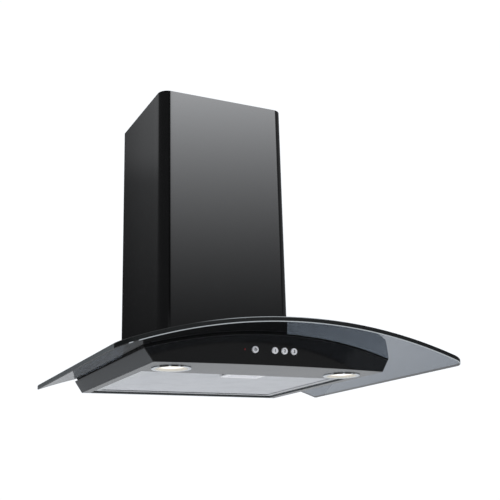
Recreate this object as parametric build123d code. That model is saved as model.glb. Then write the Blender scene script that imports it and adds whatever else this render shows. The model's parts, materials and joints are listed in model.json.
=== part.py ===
from build123d import *
import math
import os

# Curved glass range hood. Millimetres, +Z up, X across, the wall is the plane y = 0 and the hood
# faces -Y. z = 0 is the underside of the body. Distances "from the wall" are along -Y.

# Glass canopy: a sheet bent about a front-to-back axis, highest in the middle.
glass_width = 600.0
glass_front = 520.0
glass_rear = 20.0
glass_thickness = 8.0
glass_crown = 53.0  # height of the underside in the middle
arch_radius = 883.0  # bend radius of the underside
glass_front_corner = 20.0
glass_rear_corner = 5.0
notch_corner = 10.0

# Body: leaning sides, a flat bottom and a top that follows the glass.
body_bottom_width = 418.0
body_front = 426.0  # wall to the middle of the fascia
side_lean = 33.7  # degrees from upright
sheet = 1.0
plate_thickness = 1.2
gasket_thickness = 2.5
gasket_width = 12.0
shell_lip = 12.0
seat = 0.05  # between curved faces that bear on each other
fit_gap = 0.1  # between flat panels set side by side
spare = 10.0  # how far a cutting shape runs past what it cuts

# Fascia: a curved panel across the front.
fascia_thickness = 3.0
fascia_radius = 1400.0
fascia_screw_inset = 59.0
fascia_screw_low = 10.0
fascia_screw_step = 16.0

# Controls on the fascia, in one row of evenly pitched places.
control_height = 24.3
control_pitch = 17.5
indicator_x = -61.0
indicator_radius = 1.6
button_radius = 5.4
button_gap = 0.3
button_stand = 2.4
button_travel = 1.8
button_collar = 1.4
button_stem_radius = 2.5
button_stem = 4.0
switch_depth = 14.0
switch_height = 22.0
switch_margin = 12.0
switch_ear = 8.0
window_margin = 10.0

# Bottom panel with the filter opening.
side_strip = 15.0
front_strip = 116.0
opening_rear = 8.0
return_height = 16.0

# Lamps.
lamp_inset = 49.5
lamp_strip = 45.0
lamp_bezel_radius = 32.5
lamp_hole_radius = 28.0
lamp_bezel_drop = 1.8
lamp_tube_height = 9.0
lamp_tube_wall = 1.5
lamp_lens_radius = 25.0
lamp_lens_thickness = 2.0
lamp_housing_wall = 1.0
lamp_housing_height = 19.0
lamp_notch_width = 5.0
bulb_radius = 4.5
bulb_length = 11.0
socket_radius = 9.0
socket_height = 3.0

# Grease filter, hinged at its rear edge.
filter_gap = 1.0
filter_rear_gap = 4.0
filter_base = 3.0
filter_thickness = 9.0
filter_border = 14.0
filter_wall = 1.5
filter_lip = 1.0
mesh_gap = 0.2
hinge_inset = 4.0
hinge_pin_radius = 2.0
hinge_clearance = 0.06
hinge_pin_overhang = 3.0

# Filter handle and latch.
handle_width = 72.0
handle_depth = 38.0
handle_setback = 3.0
handle_plate = 2.0
cup_width = 58.0
cup_depth = 26.0
cup_height = 6.0
cup_wall = 1.0
cup_gap = 0.3
latch_width = 30.0
latch_thickness = 2.0
latch_base = 5.0
latch_nose = 0.6
latch_length = 24.0
latch_tab = 3.0
latch_gap = 0.3

# Chimney covers. The upper one slides inside the lower one.
chimney_width = 262.0
chimney_depth = 228.0
chimney_top = 556.0
chimney_corner = 20.0
chimney_seat = 0.3
chimney_return = 10.0
chimney_nest_gap = 3.0
upper_length = 400.0
upper_setdown = 2.0
upper_rear = 1.5
bracket_thickness = 1.5
bracket_height = 22.0
bracket_drop = 4.0
bracket_ear = 30.0
bracket_gap = 0.1
bracket_hole_spacing = 160.0
bracket_hole_radius = 3.0
bracket_screw_back = 20.0

# Motor box over the blower opening.
motor_box_rear = 12.0
motor_box_flange = 10.0
notch_gap = 5.0
box_screw_rear_room = 48.0
box_screw_front_room = 42.0

# Glass clamps on the motor box sides.
clamp_pad = 1.0
clamp_thickness = 1.5
clamp_grip = 5.0
clamp_side_gap = 6.0
clamp_height = 18.0
clamp_rear_room = 48.0
clamp_front_room = 32.0
clamp_screw_inset = 20.0

# Double-inlet blower with a horizontal shaft.
blade_depth = 10.0
blade_thickness = 1.0
blade_count = 30
blade_sweep = 7.0
blade_tuck = 0.2  # how far a blade's edges stay inside the rings
wheel_half_width = 50.0
wheel_ring = 2.0
wheel_disc = 2.0
hub_radius = 10.0
hub_half_length = 8.0
shaft_radius = 4.0
shaft_clearance = 0.05
tongue_gap = 6.0
scroll_ratio = 1.394
scroll_room = 5.6
scroll_floor = 14.0
throat_rise = 41.0
tongue_angle = 120.0
scroll_wall = 1.5
scroll_side_gap = 5.0
scroll_lip = 8.0
inlet_setback = 5.0
inlet_ring = 3.0
motor_inlet_gap = 7.0
motor_length = 63.0
motor_hub_gap = 4.0
motor_boss_radius = 12.0
motor_boss_length = 5.0
bracket_ring = 4.0
bracket_ring_length = 6.0
bracket_arm_width = 10.0
bracket_arm_thickness = 2.0
bracket_arm_reach = 9.0
bracket_arm_count = 3

# Run capacitor and clip on the right wall of the motor box.
capacitor_radius = 14.0
capacitor_length = 55.0
capacitor_back = 32.0
capacitor_height = 110.0
clip_thickness = 1.0
clip_height = 12.0
clip_tab = 10.0

# Terminal box on the front of the motor box.
terminal_width = 90.0
terminal_depth = 24.0
terminal_height = 60.0
terminal_base = 90.0
terminal_wall = 2.0
terminal_room = 4.8  # between its cover and the upper chimney cover
gland_radius = 9.0
gland_bore = 4.0
gland_length = 16.0
gland_flange = 3.0

# Duct collar with a two-flap damper.
duct_radius = 75.0
duct_margin = 1.0
collar_wall = 1.5
collar_height = 35.0
collar_flange_width = 4.0
collar_flange = 1.5
ledge_width = 4.5
ledge_height = 10.0
flap_thickness = 1.2
flap_side_gap = 2.0
flap_axis_gap = 3.4
knuckle_radius = 3.0
knuckle_length = 20.0
knuckle_step = 22.0
damper_pin_radius = 2.0
damper_clearance = 0.05

# Screws.
screw_radius = 1.5
screw_head_radius = 3.2
screw_head = 1.8
screw_bore_gap = 0.05
plate_screw_inset = 8.0
plate_screw_back = 60.0
plate_screw_front = 66.0
plate_screw_rows = 3

# Holes in the rear panel for hanging the hood.
hang_inset = 59.0
hang_height = 20.0
hang_radius = 4.0

# Worked out from the sizes above.
lean = math.tan(math.radians(side_lean))
arch_centre = glass_crown - arch_radius
plate_top = -seat - gasket_thickness - seat
plate_bottom = plate_top - plate_thickness
shell_top = plate_bottom - seat
panel_front_inset = fascia_thickness + fit_gap
clear_above = glass_crown + glass_thickness + 2 * spare
body_half = body_bottom_width / 2
plate_screw_step = (body_front - plate_screw_front - plate_screw_back) / (plate_screw_rows - 1)
fascia_screw_x = body_half - fascia_screw_inset
hang_spacing = body_bottom_width - 2 * hang_inset

opening_width = body_bottom_width - 2 * side_strip
opening_front = body_front - front_strip
lamp_x = body_half - lamp_inset
lamp_front = opening_front + lamp_strip
filter_half = opening_width / 2 - filter_gap
filter_front = opening_front - filter_gap
filter_rear = opening_rear + filter_rear_gap
filter_top = filter_base + filter_thickness
hinge_rear = filter_rear + hinge_inset
hinge_height = filter_base + filter_thickness / 2
handle_front = filter_front - handle_setback
handle_middle = handle_front - handle_depth / 2
cup_top = filter_base + cup_height

chimney_nest = sheet + chimney_nest_gap
clamp_reach = notch_gap + clamp_grip
box_half = chimney_width / 2 - clamp_side_gap - clamp_reach
terminal_reach = fit_gap + terminal_depth + fit_gap + terminal_wall
box_front = chimney_depth - chimney_nest - sheet - terminal_room - terminal_reach
motor_box_depth = box_front - motor_box_rear
clamp_start = motor_box_rear + clamp_rear_room
clamp_length = motor_box_depth - clamp_rear_room - clamp_front_room
capacitor_from_wall = box_front - capacitor_back
notch_half = box_half + notch_gap
notch_front = box_front + notch_gap

scroll_turn = 360.0 - tongue_angle
front_ratio = scroll_ratio ** ((180.0 - tongue_angle) / scroll_turn)
floor_ratio = scroll_ratio ** ((270.0 - tongue_angle) / scroll_turn)
scroll_depth = motor_box_depth - 2 * (sheet + scroll_wall + scroll_room)
scroll_start = scroll_depth / (scroll_ratio + front_ratio)
scroll_end = scroll_start * scroll_ratio
wheel_radius = scroll_start - tongue_gap
blade_inner = wheel_radius - blade_depth
scroll_half = wheel_half_width + scroll_side_gap
blower_from_wall = motor_box_rear + sheet + scroll_room + scroll_wall + scroll_end
blower_height = glass_crown + scroll_floor + scroll_wall + scroll_start * floor_ratio
motor_box_top = blower_height + scroll_start + throat_rise
inlet_radius = blade_inner - inlet_setback
motor_radius = inlet_radius - motor_inlet_gap
arm_end = inlet_radius + bracket_arm_reach

collar_flange_radius = duct_radius + collar_flange_width
duct_from_wall = motor_box_rear + collar_flange_radius + duct_margin
collar_bore = duct_radius - collar_wall
collar_base = motor_box_top + fit_gap
damper_height = collar_base + ledge_height + flap_thickness / 2


def facing_front(from_wall=0.0):
    """Upright plane parallel to the wall, drawn on from in front of the hood."""
    return Plane(origin=(0, -from_wall, 0), x_dir=(1, 0, 0), z_dir=(0, -1, 0))


def block(x_range, front_range, z_range):
    """Box between two places across, two distances from the wall and two heights."""
    size = [high - low for low, high in (x_range, front_range, z_range)]
    middle = [(low + high) / 2 for low, high in (x_range, front_range, z_range)]
    return Pos(middle[0], -middle[1], middle[2]) * Box(*size)


def upright(radius, x, from_wall, z_range):
    """Upright cylinder between two heights."""
    low, high = z_range
    return Pos(x, -from_wall, (low + high) / 2) * Cylinder(radius, high - low)


def arch_solid(offset, front=glass_front + spare):
    """Everything below the arch that lies a distance outside the glass's underside."""
    disc = Pos(0, arch_centre) * Circle(arch_radius + offset)
    return extrude(facing_front() * disc, front)


def arch_height(x, offset=0.0):
    """Height of that arch at a place across the hood."""
    return arch_centre + math.sqrt((arch_radius + offset) ** 2 - x**2)


def on_arch(x, from_wall, offset):
    """Plane square to the arch, facing away from its centre."""
    slope = math.asin(x / (arch_radius + offset))
    return Plane(
        origin=(x, -from_wall, arch_height(x, offset)),
        x_dir=(math.cos(slope), 0, -math.sin(slope)),
        z_dir=(math.sin(slope), 0, math.cos(slope)),
    )


def side_edge(offset):
    """Place across where the body's leaning side meets the arch at that distance."""
    radius = arch_radius + offset
    slope = body_half * lean - arch_centre
    rest = body_half**2 + arch_centre**2 - radius**2
    height = (math.sqrt(slope**2 - (1 + lean**2) * rest) - slope) / (1 + lean**2)
    return body_half + height * lean


def fascia_face(x, depth=0.0):
    """Distance from the wall to the fascia's front, or to a depth behind it."""
    return body_front - fascia_radius + math.sqrt((fascia_radius - depth) ** 2 - x**2)


def on_fascia(x, z, depth):
    """Plane square to the fascia at a depth behind its front, facing into the body."""
    turn = math.asin(x / (fascia_radius - depth))
    return Plane(
        origin=(x, -fascia_face(x, depth), z),
        x_dir=(math.cos(turn), math.sin(turn), 0),
        z_dir=(-math.sin(turn), math.cos(turn), 0),
    )


def body_block(arch_offset, side_inset=0.0, front_inset=0.0, rear_inset=0.0, floor=0.0):
    """The body's outer form, or that form with its faces moved inwards."""
    shift = side_inset / math.cos(math.radians(side_lean))
    half = body_half + floor * lean - shift
    reach = half + (clear_above - floor) * lean
    corners = [(-half, floor), (half, floor), (reach, clear_above), (-reach, clear_above)]
    profile = Polygon(*corners, align=None) & Pos(0, arch_centre) * Circle(arch_radius + arch_offset)
    prism = extrude(facing_front(rear_inset) * profile, body_front)
    front = Pos(0, fascia_radius - body_front, 0) * Cylinder(fascia_radius - front_inset, 4 * clear_above)
    return prism & front


def screw(shank):
    """Pan-head screw along +Z with its head's bearing face at the origin, head below."""
    head = Pos(0, 0, -screw_head / 2) * Cylinder(screw_head_radius, screw_head)
    return head + Pos(0, 0, shank / 2) * Cylinder(screw_radius, shank)


def screw_hole(shank):
    """Clearance hole of a screw, open a little beyond both ends of its shank."""
    return Pos(0, 0, shank / 2) * Cylinder(screw_radius + screw_bore_gap, shank + 2 * fit_gap)


def place_screws(planes, shank):
    """The screws on the stated planes, and the holes they need."""
    screws = [plane * screw(shank) for plane in planes]
    holes = [plane * screw_hole(shank) for plane in planes]
    return screws, holes


def glass_canopy():
    """Bent sheet with rounded front corners and a notch round the motor box."""
    depth = glass_front - glass_rear
    plan = Rectangle(glass_width, depth)
    rows = plan.vertices().group_by(Axis.Y)
    plan = fillet(rows[0], glass_front_corner)
    plan = fillet(plan.vertices().group_by(Axis.Y)[-1], glass_rear_corner)
    plan = Pos(0, -glass_rear - depth / 2) * plan
    notch = Rectangle(2 * notch_half, 2 * notch_front)
    notch = fillet(notch.vertices(), notch_corner)
    prism = Pos(0, 0, -clear_above) * extrude(plan - notch, 3 * clear_above)
    return (prism & arch_solid(glass_thickness)) - arch_solid(0)


def body_parts():
    """Shell, bottom panel, top plate, seal and the screws between them."""
    inside = body_block(shell_top - sheet, sheet, panel_front_inset + sheet, sheet, 2 * sheet)
    shell = body_block(shell_top, 0, panel_front_inset, 0, sheet) - inside
    bottom_half = opening_width / 2 + sheet + screw_radius
    lip_front = body_front - panel_front_inset - sheet - shell_lip
    shell -= block((-bottom_half, bottom_half), (sheet, lip_front), (0, 2 * sheet))
    rim = side_edge(shell_top) - sheet - shell_lip
    above = (4 * sheet, clear_above)
    shell -= block((-rim, rim), (shell_lip, fascia_face(rim) - panel_front_inset - shell_lip), above)
    window_left = indicator_x - window_margin
    window_right = indicator_x + 5 * control_pitch + window_margin
    window_z = (control_height - window_margin, control_height + window_margin)
    shell -= block((window_left, window_right), (lip_front + shell_lip / 2, body_front), window_z)
    for side in (-1, 1):
        shell -= Pos(side * hang_spacing / 2, 0, hang_height) * Rot(X=90) * Cylinder(hang_radius, 4 * sheet)
        shell -= upright(lamp_bezel_radius + sheet, side * lamp_x, lamp_front, (0, 2 * sheet + fit_gap))

    panel = body_block(shell_top, 0, panel_front_inset) & block(
        (-glass_width, glass_width), (0, glass_front), (0, sheet)
    )
    half = opening_width / 2
    walls = block(
        (-half - sheet, half + sheet), (opening_rear - sheet, opening_front + sheet), (0, return_height)
    )
    panel += walls
    panel -= block((-half, half), (opening_rear, opening_front), (-sheet, return_height + sheet))
    for side in (-1, 1):
        panel -= upright(lamp_hole_radius, side * lamp_x, lamp_front, (-sheet, 2 * sheet))
    pin_hole = Pos(0, -hinge_rear, hinge_height) * Rot(Y=90)
    panel -= pin_hole * Cylinder(hinge_pin_radius + hinge_clearance, opening_width + 4 * sheet)

    plate = body_block(plate_top) - body_block(plate_bottom)
    blower_half = box_half - motor_box_flange
    opening = Rectangle(2 * blower_half, motor_box_depth - 2 * motor_box_flange)
    opening = fillet(opening.vertices(), notch_corner)
    opening = Pos(0, -motor_box_rear - motor_box_depth / 2) * opening
    plate -= extrude(opening, clear_above)

    layer = body_block(-seat, rear_inset=glass_rear) - body_block(-seat - gasket_thickness)
    inner = body_block(0, gasket_width, gasket_width, glass_rear + gasket_width)
    gasket = layer - inner
    gasket -= block((-notch_half, notch_half), (0, notch_front), (0, clear_above))

    places = []
    for side in (-1, 1):
        for row in range(plate_screw_rows):
            back = plate_screw_back + row * plate_screw_step
            x = side * (side_edge(shell_top) - plate_screw_inset)
            places.append(on_arch(x, back, shell_top - sheet - seat))
    screws, holes = place_screws(places, sheet + 2 * seat + plate_thickness)
    for hole in holes:
        shell -= hole
        plate -= hole
    return {
        "body_shell": shell,
        "bottom_panel": panel,
        "body_top_plate": plate,
        "glass_gasket": gasket,
        "top_plate_screws": Compound(screws),
    }


def button_places():
    """Place across the hood of each button, by name."""
    steps = {"button_light": 1, "button_speed_1": 3, "button_speed_2": 4, "button_speed_3": 5}
    return {name: indicator_x + step * control_pitch for name, step in steps.items()}


def forward_cylinder(radius, x, z, front_range):
    """Cylinder along the front-to-back axis between two distances from the wall."""
    near, far = front_range
    return Pos(x, -(near + far) / 2, z) * Rot(X=90) * Cylinder(radius, far - near)


def button(x):
    """Round push button with a retaining collar behind the fascia and a stem behind that."""
    face = fascia_face(x)
    collar_face = face - fascia_thickness - button_gap
    collar_back = collar_face - button_collar
    cap = forward_cylinder(button_radius, x, control_height, (collar_face, face + button_stand))
    cap = chamfer(cap.edges().group_by(Axis.Y)[0], button_stand / 4)
    collar = forward_cylinder(
        button_radius + 2 * button_gap, x, control_height, (collar_back, collar_face)
    )
    stem = forward_cylinder(
        button_stem_radius, x, control_height, (collar_back - button_stem, collar_back)
    )
    return cap + collar + stem


def fascia_parts():
    """Fascia, its screws, the buttons, the indicator and the switch block behind them."""
    fascia = body_block(shell_top) - body_block(shell_top + sheet, -sheet, fascia_thickness, -sheet, -sheet)
    parts = {}
    for name, x in button_places().items():
        span = (fascia_face(x) - 2 * fascia_thickness, fascia_face(x) + sheet)
        fascia -= forward_cylinder(button_radius + button_gap, x, control_height, span)
        parts[name] = button(x)
    face = fascia_face(indicator_x)
    lens = (face - fascia_thickness, face + button_gap)
    parts["indicator_lens"] = forward_cylinder(indicator_radius, indicator_x, control_height, lens)
    hole = (face - 2 * fascia_thickness, face + sheet)
    fascia -= forward_cylinder(indicator_radius + seat, indicator_x, control_height, hole)

    depth = fascia_thickness + fit_gap + sheet + seat
    shank = sheet + seat + fit_gap + fascia_thickness / 2
    places = []
    for side in (-1, 1):
        for row in range(2):
            height = fascia_screw_low + row * fascia_screw_step
            plane = on_fascia(side * fascia_screw_x, height, depth)
            places.append(Plane(origin=plane.origin, x_dir=plane.x_dir, z_dir=-plane.z_dir))
    screws, holes = place_screws(places, shank)
    for hole in holes:
        fascia -= hole
    parts["front_fascia"] = fascia
    parts["fascia_screws"] = Compound(screws)

    low_x = indicator_x - switch_margin
    high_x = indicator_x + 5 * control_pitch + switch_margin
    wall = body_front - depth - seat - (fascia_radius - math.sqrt(fascia_radius**2 - low_x**2))
    travel_room = button_collar + button_stem + button_travel + 2 * button_gap
    farthest = max(abs(x) for x in button_places().values())
    front = fascia_face(farthest) - fascia_thickness - button_gap - travel_room
    rows = (control_height - switch_height / 2, control_height + switch_height / 2)
    switch = block((low_x, high_x), (front - switch_depth, front), rows)
    for low, high in ((low_x - switch_ear, low_x), (high_x, high_x + switch_ear)):
        switch += block((low, high), (front - sheet, front), rows)
        edge = (low, low + sheet) if low < indicator_x else (high - sheet, high)
        switch += block(edge, (front - sheet, body_front), rows)
    switch &= body_block(shell_top - sheet, sheet, depth + seat, sheet, sheet)
    parts["switch_block"] = switch
    return parts, holes


def lamp_parts(side, name):
    """Bezel, lens, bulb and housing of one lamp."""
    centre = Pos(side * lamp_x, -lamp_front, 0)
    tube = lamp_hole_radius - fit_gap
    bore = tube - lamp_tube_wall
    ring = Circle(lamp_bezel_radius) - Circle(bore)
    bezel = Pos(0, 0, -lamp_bezel_drop) * extrude(ring, lamp_bezel_drop - seat)
    bezel = chamfer(bezel.edges().group_by(Axis.Z)[0], lamp_bezel_drop / 3)
    bezel += extrude(Circle(tube) - Circle(bore), lamp_tube_height + seat, both=False)
    bezel += Pos(0, 0, -seat) * extrude(Circle(tube) - Circle(bore), 2 * seat)
    shelf = extrude(Circle(bore) - Circle(bore - 2 * lamp_tube_wall), lamp_tube_wall)
    bezel += shelf
    for turn in range(3):
        notch = Rot(Z=120 * turn + 90) * Pos(lamp_bezel_radius, 0, -lamp_bezel_drop)
        bezel -= notch * Box(lamp_tube_wall * 4, lamp_notch_width, lamp_bezel_drop)
    lens = Pos(0, 0, lamp_tube_wall + seat + lamp_lens_thickness / 2)
    lens = lens * Cylinder(lamp_lens_radius, lamp_lens_thickness)
    outer = Cylinder(lamp_bezel_radius, lamp_housing_height)
    inner = Cylinder(lamp_bezel_radius - lamp_housing_wall, lamp_housing_height)
    housing = Pos(0, 0, sheet + seat + lamp_housing_height / 2) * outer
    housing -= Pos(0, 0, sheet + seat + lamp_housing_height / 2 - lamp_housing_wall) * inner
    roof = sheet + seat + lamp_housing_height - lamp_housing_wall
    housing += Pos(0, 0, roof - socket_height / 2) * Cylinder(socket_radius, socket_height)
    bulb_top = roof - socket_height - seat
    bulb = Pos(0, 0, bulb_top - bulb_length / 2) * Cylinder(bulb_radius, bulb_length)
    bulb = chamfer(bulb.edges().group_by(Axis.Z)[0], bulb_radius / 2)
    return {
        f"lamp_bezel_{name}": centre * bezel,
        f"lamp_lens_{name}": centre * lens,
        f"lamp_bulb_{name}": centre * bulb,
        f"lamp_housing_{name}": centre * housing,
    }


def filter_parts():
    """Cassette grease filter: frame with hinge pins, mesh, handle cup and latch."""
    outline = ((-filter_half, filter_half), (filter_rear, filter_front))
    frame = block(*outline, (filter_base, filter_top))
    inset = [(low + filter_border, high - filter_border) for low, high in outline]
    frame -= block(*inset, (filter_base - sheet, filter_top + sheet))
    groove = [(low + filter_wall, high - filter_wall) for low, high in outline]
    groove_z = (filter_base + filter_lip, filter_top - filter_lip)
    frame -= block(*groove, groove_z)
    pin = Cylinder(hinge_pin_radius, filter_gap + sheet + hinge_pin_overhang + filter_wall)
    for side in (-1, 1):
        middle = filter_half + (filter_gap + sheet + hinge_pin_overhang - filter_wall) / 2
        frame += Pos(side * middle, -hinge_rear, hinge_height) * Rot(Y=90) * pin

    cup = (handle_middle - cup_depth / 2, handle_middle + cup_depth / 2)
    room = (cup[0] - cup_gap, cup[1] + cup_gap)
    half = cup_width / 2
    cavity = block((-half - cup_gap, half + cup_gap), room, (filter_base - sheet, cup_top + cup_gap))
    frame -= cavity
    channel_half = latch_width / 2 + latch_gap
    channel_z = (latch_base - latch_gap, latch_base + latch_thickness + latch_gap)
    channel = block((-channel_half, channel_half), (cup[0] + cup_wall, filter_front + sheet), channel_z)
    frame -= channel

    # The mesh is a wide pad behind the handle's cup and a narrow pad on each side of it.
    across, along = [(low + mesh_gap, high - mesh_gap) for low, high in groove]
    mesh_z = (groove_z[0] + mesh_gap / 2, groove_z[1] - mesh_gap / 2)
    pads = [block(across, (along[0], room[0] - fit_gap), mesh_z)]
    for pad_x in ((across[0], -half - cup_gap), (half + cup_gap, across[1])):
        pads.append(block(pad_x, (room[0], along[1]), mesh_z))
    mesh = Compound(pads)

    plate_z = (filter_base - seat - handle_plate, filter_base - seat)
    hand = (-handle_width / 2, handle_width / 2)
    handle = block(hand, (handle_front - handle_depth, handle_front), plate_z)
    handle = fillet(handle.edges().filter_by(Axis.Z), handle_setback)
    handle += block((-half, half), cup, (plate_z[0], cup_top))
    pocket = (cup[0] + cup_wall, cup[1] - cup_wall)
    handle -= block((-half + cup_wall, half - cup_wall), pocket, (plate_z[0] - sheet, cup_top - cup_wall))
    handle -= channel

    nose = filter_front + latch_nose
    latch_z = (latch_base, latch_base + latch_thickness)
    latch = block((-latch_width / 2, latch_width / 2), (nose - latch_length, nose), latch_z)
    tab = (nose - latch_length, nose - latch_length + latch_tab)
    latch += block((-latch_width / 2, latch_width / 2), tab, (plate_z[0] + sheet, latch_base))
    return {"filter_frame": frame, "filter_mesh": mesh, "filter_handle": handle, "filter_latch": latch}


def cover_profile(half, front, rear, corner, wall):
    """Plan of a chimney cover: three walls with rounded front corners and short rear returns."""
    depth = front - rear
    outer = Rectangle(2 * half, depth)
    outer = fillet(outer.vertices().group_by(Axis.Y)[0], corner)
    inner = Rectangle(2 * (half - wall), depth - 2 * wall)
    inner = fillet(inner.vertices().group_by(Axis.Y)[0], corner - wall)
    gap = Pos(0, depth / 2) * Rectangle(2 * (half - chimney_return), 4 * wall)
    return Pos(0, -rear - depth / 2) * (outer - inner - gap)


def chimney_parts():
    """Lower and upper covers, and the wall bracket that carries the upper one."""
    half = chimney_width / 2
    lower = extrude(cover_profile(half, chimney_depth, 0, chimney_corner, sheet), chimney_top)
    lower -= arch_solid(glass_thickness + chimney_seat)
    upper_top = chimney_top - upper_setdown
    upper_half = half - chimney_nest
    upper_front = chimney_depth - chimney_nest
    plan = cover_profile(upper_half, upper_front, upper_rear, chimney_corner - chimney_nest, sheet)
    upper = Pos(0, 0, upper_top - upper_length) * extrude(plan, upper_length)
    bracket_top = upper_top - bracket_drop
    bracket_low = bracket_top - bracket_height
    relief = (-half - sheet, half + sheet)
    relief_z = (bracket_low - 2 * sheet, chimney_top + sheet)
    upper -= block((-upper_half + sheet, upper_half - sheet), (0, upper_rear + 2 * sheet), relief_z)
    lower -= block((-half + sheet, half - sheet), (0, 2 * sheet), relief_z)

    ear = upper_half - sheet - bracket_gap
    rows = (bracket_low, bracket_top)
    bracket = block((-ear, ear), (0, bracket_ear), rows)
    hollow = ear - bracket_thickness
    bracket -= block((-hollow, hollow), (bracket_thickness, bracket_ear + sheet), rows)
    middle = (bracket_low + bracket_top) / 2
    for side in (-1, 1):
        hole = forward_cylinder(
            bracket_hole_radius, side * bracket_hole_spacing / 2, middle, (-sheet, 2 * bracket_thickness)
        )
        bracket -= hole
    places = []
    for side in (-1, 1):
        origin = (side * upper_half, -bracket_screw_back, middle)
        places.append(Plane(origin=origin, x_dir=(0, 1, 0), z_dir=(-side, 0, 0)))
    screws, holes = place_screws(places, sheet + bracket_gap + bracket_thickness)
    for hole in holes:
        upper -= hole
        bracket -= hole
    return {
        "chimney_lower": lower,
        "chimney_upper": upper,
        "chimney_wall_bracket": bracket,
        "chimney_bracket_screws": Compound(screws),
    }


def scroll_face(wall):
    """Outline of the scroll in its side view, or that outline grown by the wall.

    The radius grows evenly in ratio from the tongue to the rear, and the throat runs
    straight up from both ends. The centre of the wheel is the origin, x is towards the wall.
    """
    steps = 8
    points = []
    for step in range(steps + 1):
        share = step / steps
        angle = math.radians(tongue_angle + share * scroll_turn)
        radius = scroll_start * scroll_ratio**share + wall
        points.append((radius * math.cos(angle), radius * math.sin(angle)))
    top = motor_box_top - sheet - fit_gap - blower_height
    front_edge = (points[0][0], top)
    rear_edge = (points[-1][0], top)
    outline = Spline(*points) + Polyline(points[-1], rear_edge, front_edge, points[0])
    return make_face(outline)


def blower_parts():
    """Scroll halves, wheel, shaft, motor and the motor's bracket with its screws."""
    side_view = Plane(origin=(0, -blower_from_wall, blower_height), x_dir=(0, 1, 0), z_dir=(1, 0, 0))
    half_gap = fit_gap / 2
    outer = extrude(side_view.offset(half_gap) * scroll_face(scroll_wall), scroll_half + scroll_wall)
    inner = extrude(side_view * scroll_face(0), scroll_half)
    right = outer - inner
    collar = inlet_radius + scroll_wall
    right += side_view.offset(scroll_half - inlet_ring) * extrude(
        Circle(collar), inlet_ring + scroll_wall / 2
    )
    right -= side_view * extrude(Circle(inlet_radius), 2 * scroll_half)
    throat_top = motor_box_top - sheet - fit_gap
    throat_rear = blower_from_wall - scroll_end
    throat_front = blower_from_wall - scroll_start * math.cos(math.radians(tongue_angle))
    lip_x = (half_gap, scroll_half + scroll_wall + scroll_lip)
    lip_span = (throat_rear - scroll_wall - sheet, throat_front + scroll_wall + scroll_lip)
    lip = block(lip_x, lip_span, (throat_top - scroll_wall, throat_top))
    lip -= block((-sheet, scroll_half), (throat_rear, throat_front), (0, throat_top + sheet))
    right += lip
    left = mirror(right, Plane.YZ)

    wheel = side_view.offset(-wheel_disc / 2) * extrude(Circle(wheel_radius), wheel_disc)
    ring = Circle(wheel_radius) - Circle(blade_inner)
    for side in (-1, 1):
        start_x = side * wheel_half_width - (wheel_ring if side > 0 else 0)
        wheel += side_view.offset(start_x) * extrude(ring, wheel_ring)
    lead = math.radians(blade_sweep)
    mid = (blade_inner + wheel_radius) / 2
    curve = []
    for edge in (0.0, blade_thickness):
        tip = wheel_radius - blade_tuck
        tail = (tip * math.cos(lead), tip * math.sin(lead) + edge)
        bend = (mid + blade_depth / 8, mid * math.sin(lead / 4) + edge)
        curve.append([(blade_inner + blade_tuck, edge), bend, tail])
    outline = ThreePointArc(*curve[0]) + ThreePointArc(*curve[1])
    outline += Line(curve[0][0], curve[1][0]) + Line(curve[0][2], curve[1][2])
    blade = extrude(make_face(outline), 2 * wheel_half_width - wheel_ring)
    first = side_view.offset(-wheel_half_width + wheel_ring / 2)
    blades = [first * Rot(Z=360 * number / blade_count) * blade for number in range(blade_count)]
    wheel = wheel.fuse(*blades)
    wheel += side_view.offset(-hub_half_length) * extrude(Circle(hub_radius), 2 * hub_half_length)
    bore = shaft_radius + seat / 2
    wheel -= side_view.offset(-wheel_half_width) * extrude(Circle(bore), 2 * wheel_half_width)

    motor_end = -hub_half_length - motor_hub_gap
    motor_start = motor_end - motor_length
    motor = side_view.offset(motor_start) * extrude(Circle(motor_radius), motor_length)
    motor = chamfer(motor.edges().filter_by(GeomType.CIRCLE), motor_boss_length)
    boss_start = motor_start - motor_boss_length
    boss = extrude(Circle(motor_boss_radius), motor_length + motor_boss_length)
    motor += side_view.offset(boss_start) * boss
    running = shaft_radius + shaft_clearance
    motor -= side_view.offset(boss_start - sheet) * extrude(Circle(running), scroll_half * 2)
    shaft_start = boss_start - sheet
    shaft = side_view.offset(shaft_start) * extrude(Circle(shaft_radius), hub_half_length - shaft_start)

    side_face = -scroll_half - scroll_wall - half_gap
    ring_start = side_face - bracket_arm_thickness - bracket_ring_length
    inner_ring = motor_radius + seat
    ring = Circle(inner_ring + bracket_ring) - Circle(inner_ring)
    holder = side_view.offset(ring_start) * extrude(ring, bracket_ring_length)
    holes = []
    screws = []
    for number in range(bracket_arm_count):
        turn = Rot(Z=360 * number / bracket_arm_count + 90)
        reach = arm_end - inner_ring
        arm = turn * Pos(inner_ring + reach / 2, 0) * Rectangle(reach, bracket_arm_width)
        holder += side_view.offset(side_face - seat - bracket_arm_thickness) * extrude(
            arm - Circle(inner_ring), bracket_arm_thickness
        )
        tie = turn * Pos(inner_ring + bracket_ring / 2, 0) * Rectangle(bracket_ring, bracket_arm_width)
        holder += side_view.offset(ring_start) * extrude(
            tie - Circle(inner_ring), bracket_ring_length + bracket_arm_thickness / 2
        )
        screw_at = turn * Pos(arm_end - screw_head_radius - sheet, 0)
        place = side_view.offset(side_face - seat - bracket_arm_thickness) * screw_at
        screws.append(place * screw(bracket_arm_thickness + scroll_wall))
        holes.append(place * screw_hole(bracket_arm_thickness + scroll_wall))
    for hole in holes:
        holder -= hole
        left -= hole
    return {
        "scroll_left": left,
        "scroll_right": right,
        "impeller_wheel": wheel,
        "motor_shaft": shaft,
        "motor_body": motor,
        "motor_bracket": holder,
        "motor_bracket_screws": Compound(screws),
    }


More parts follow.
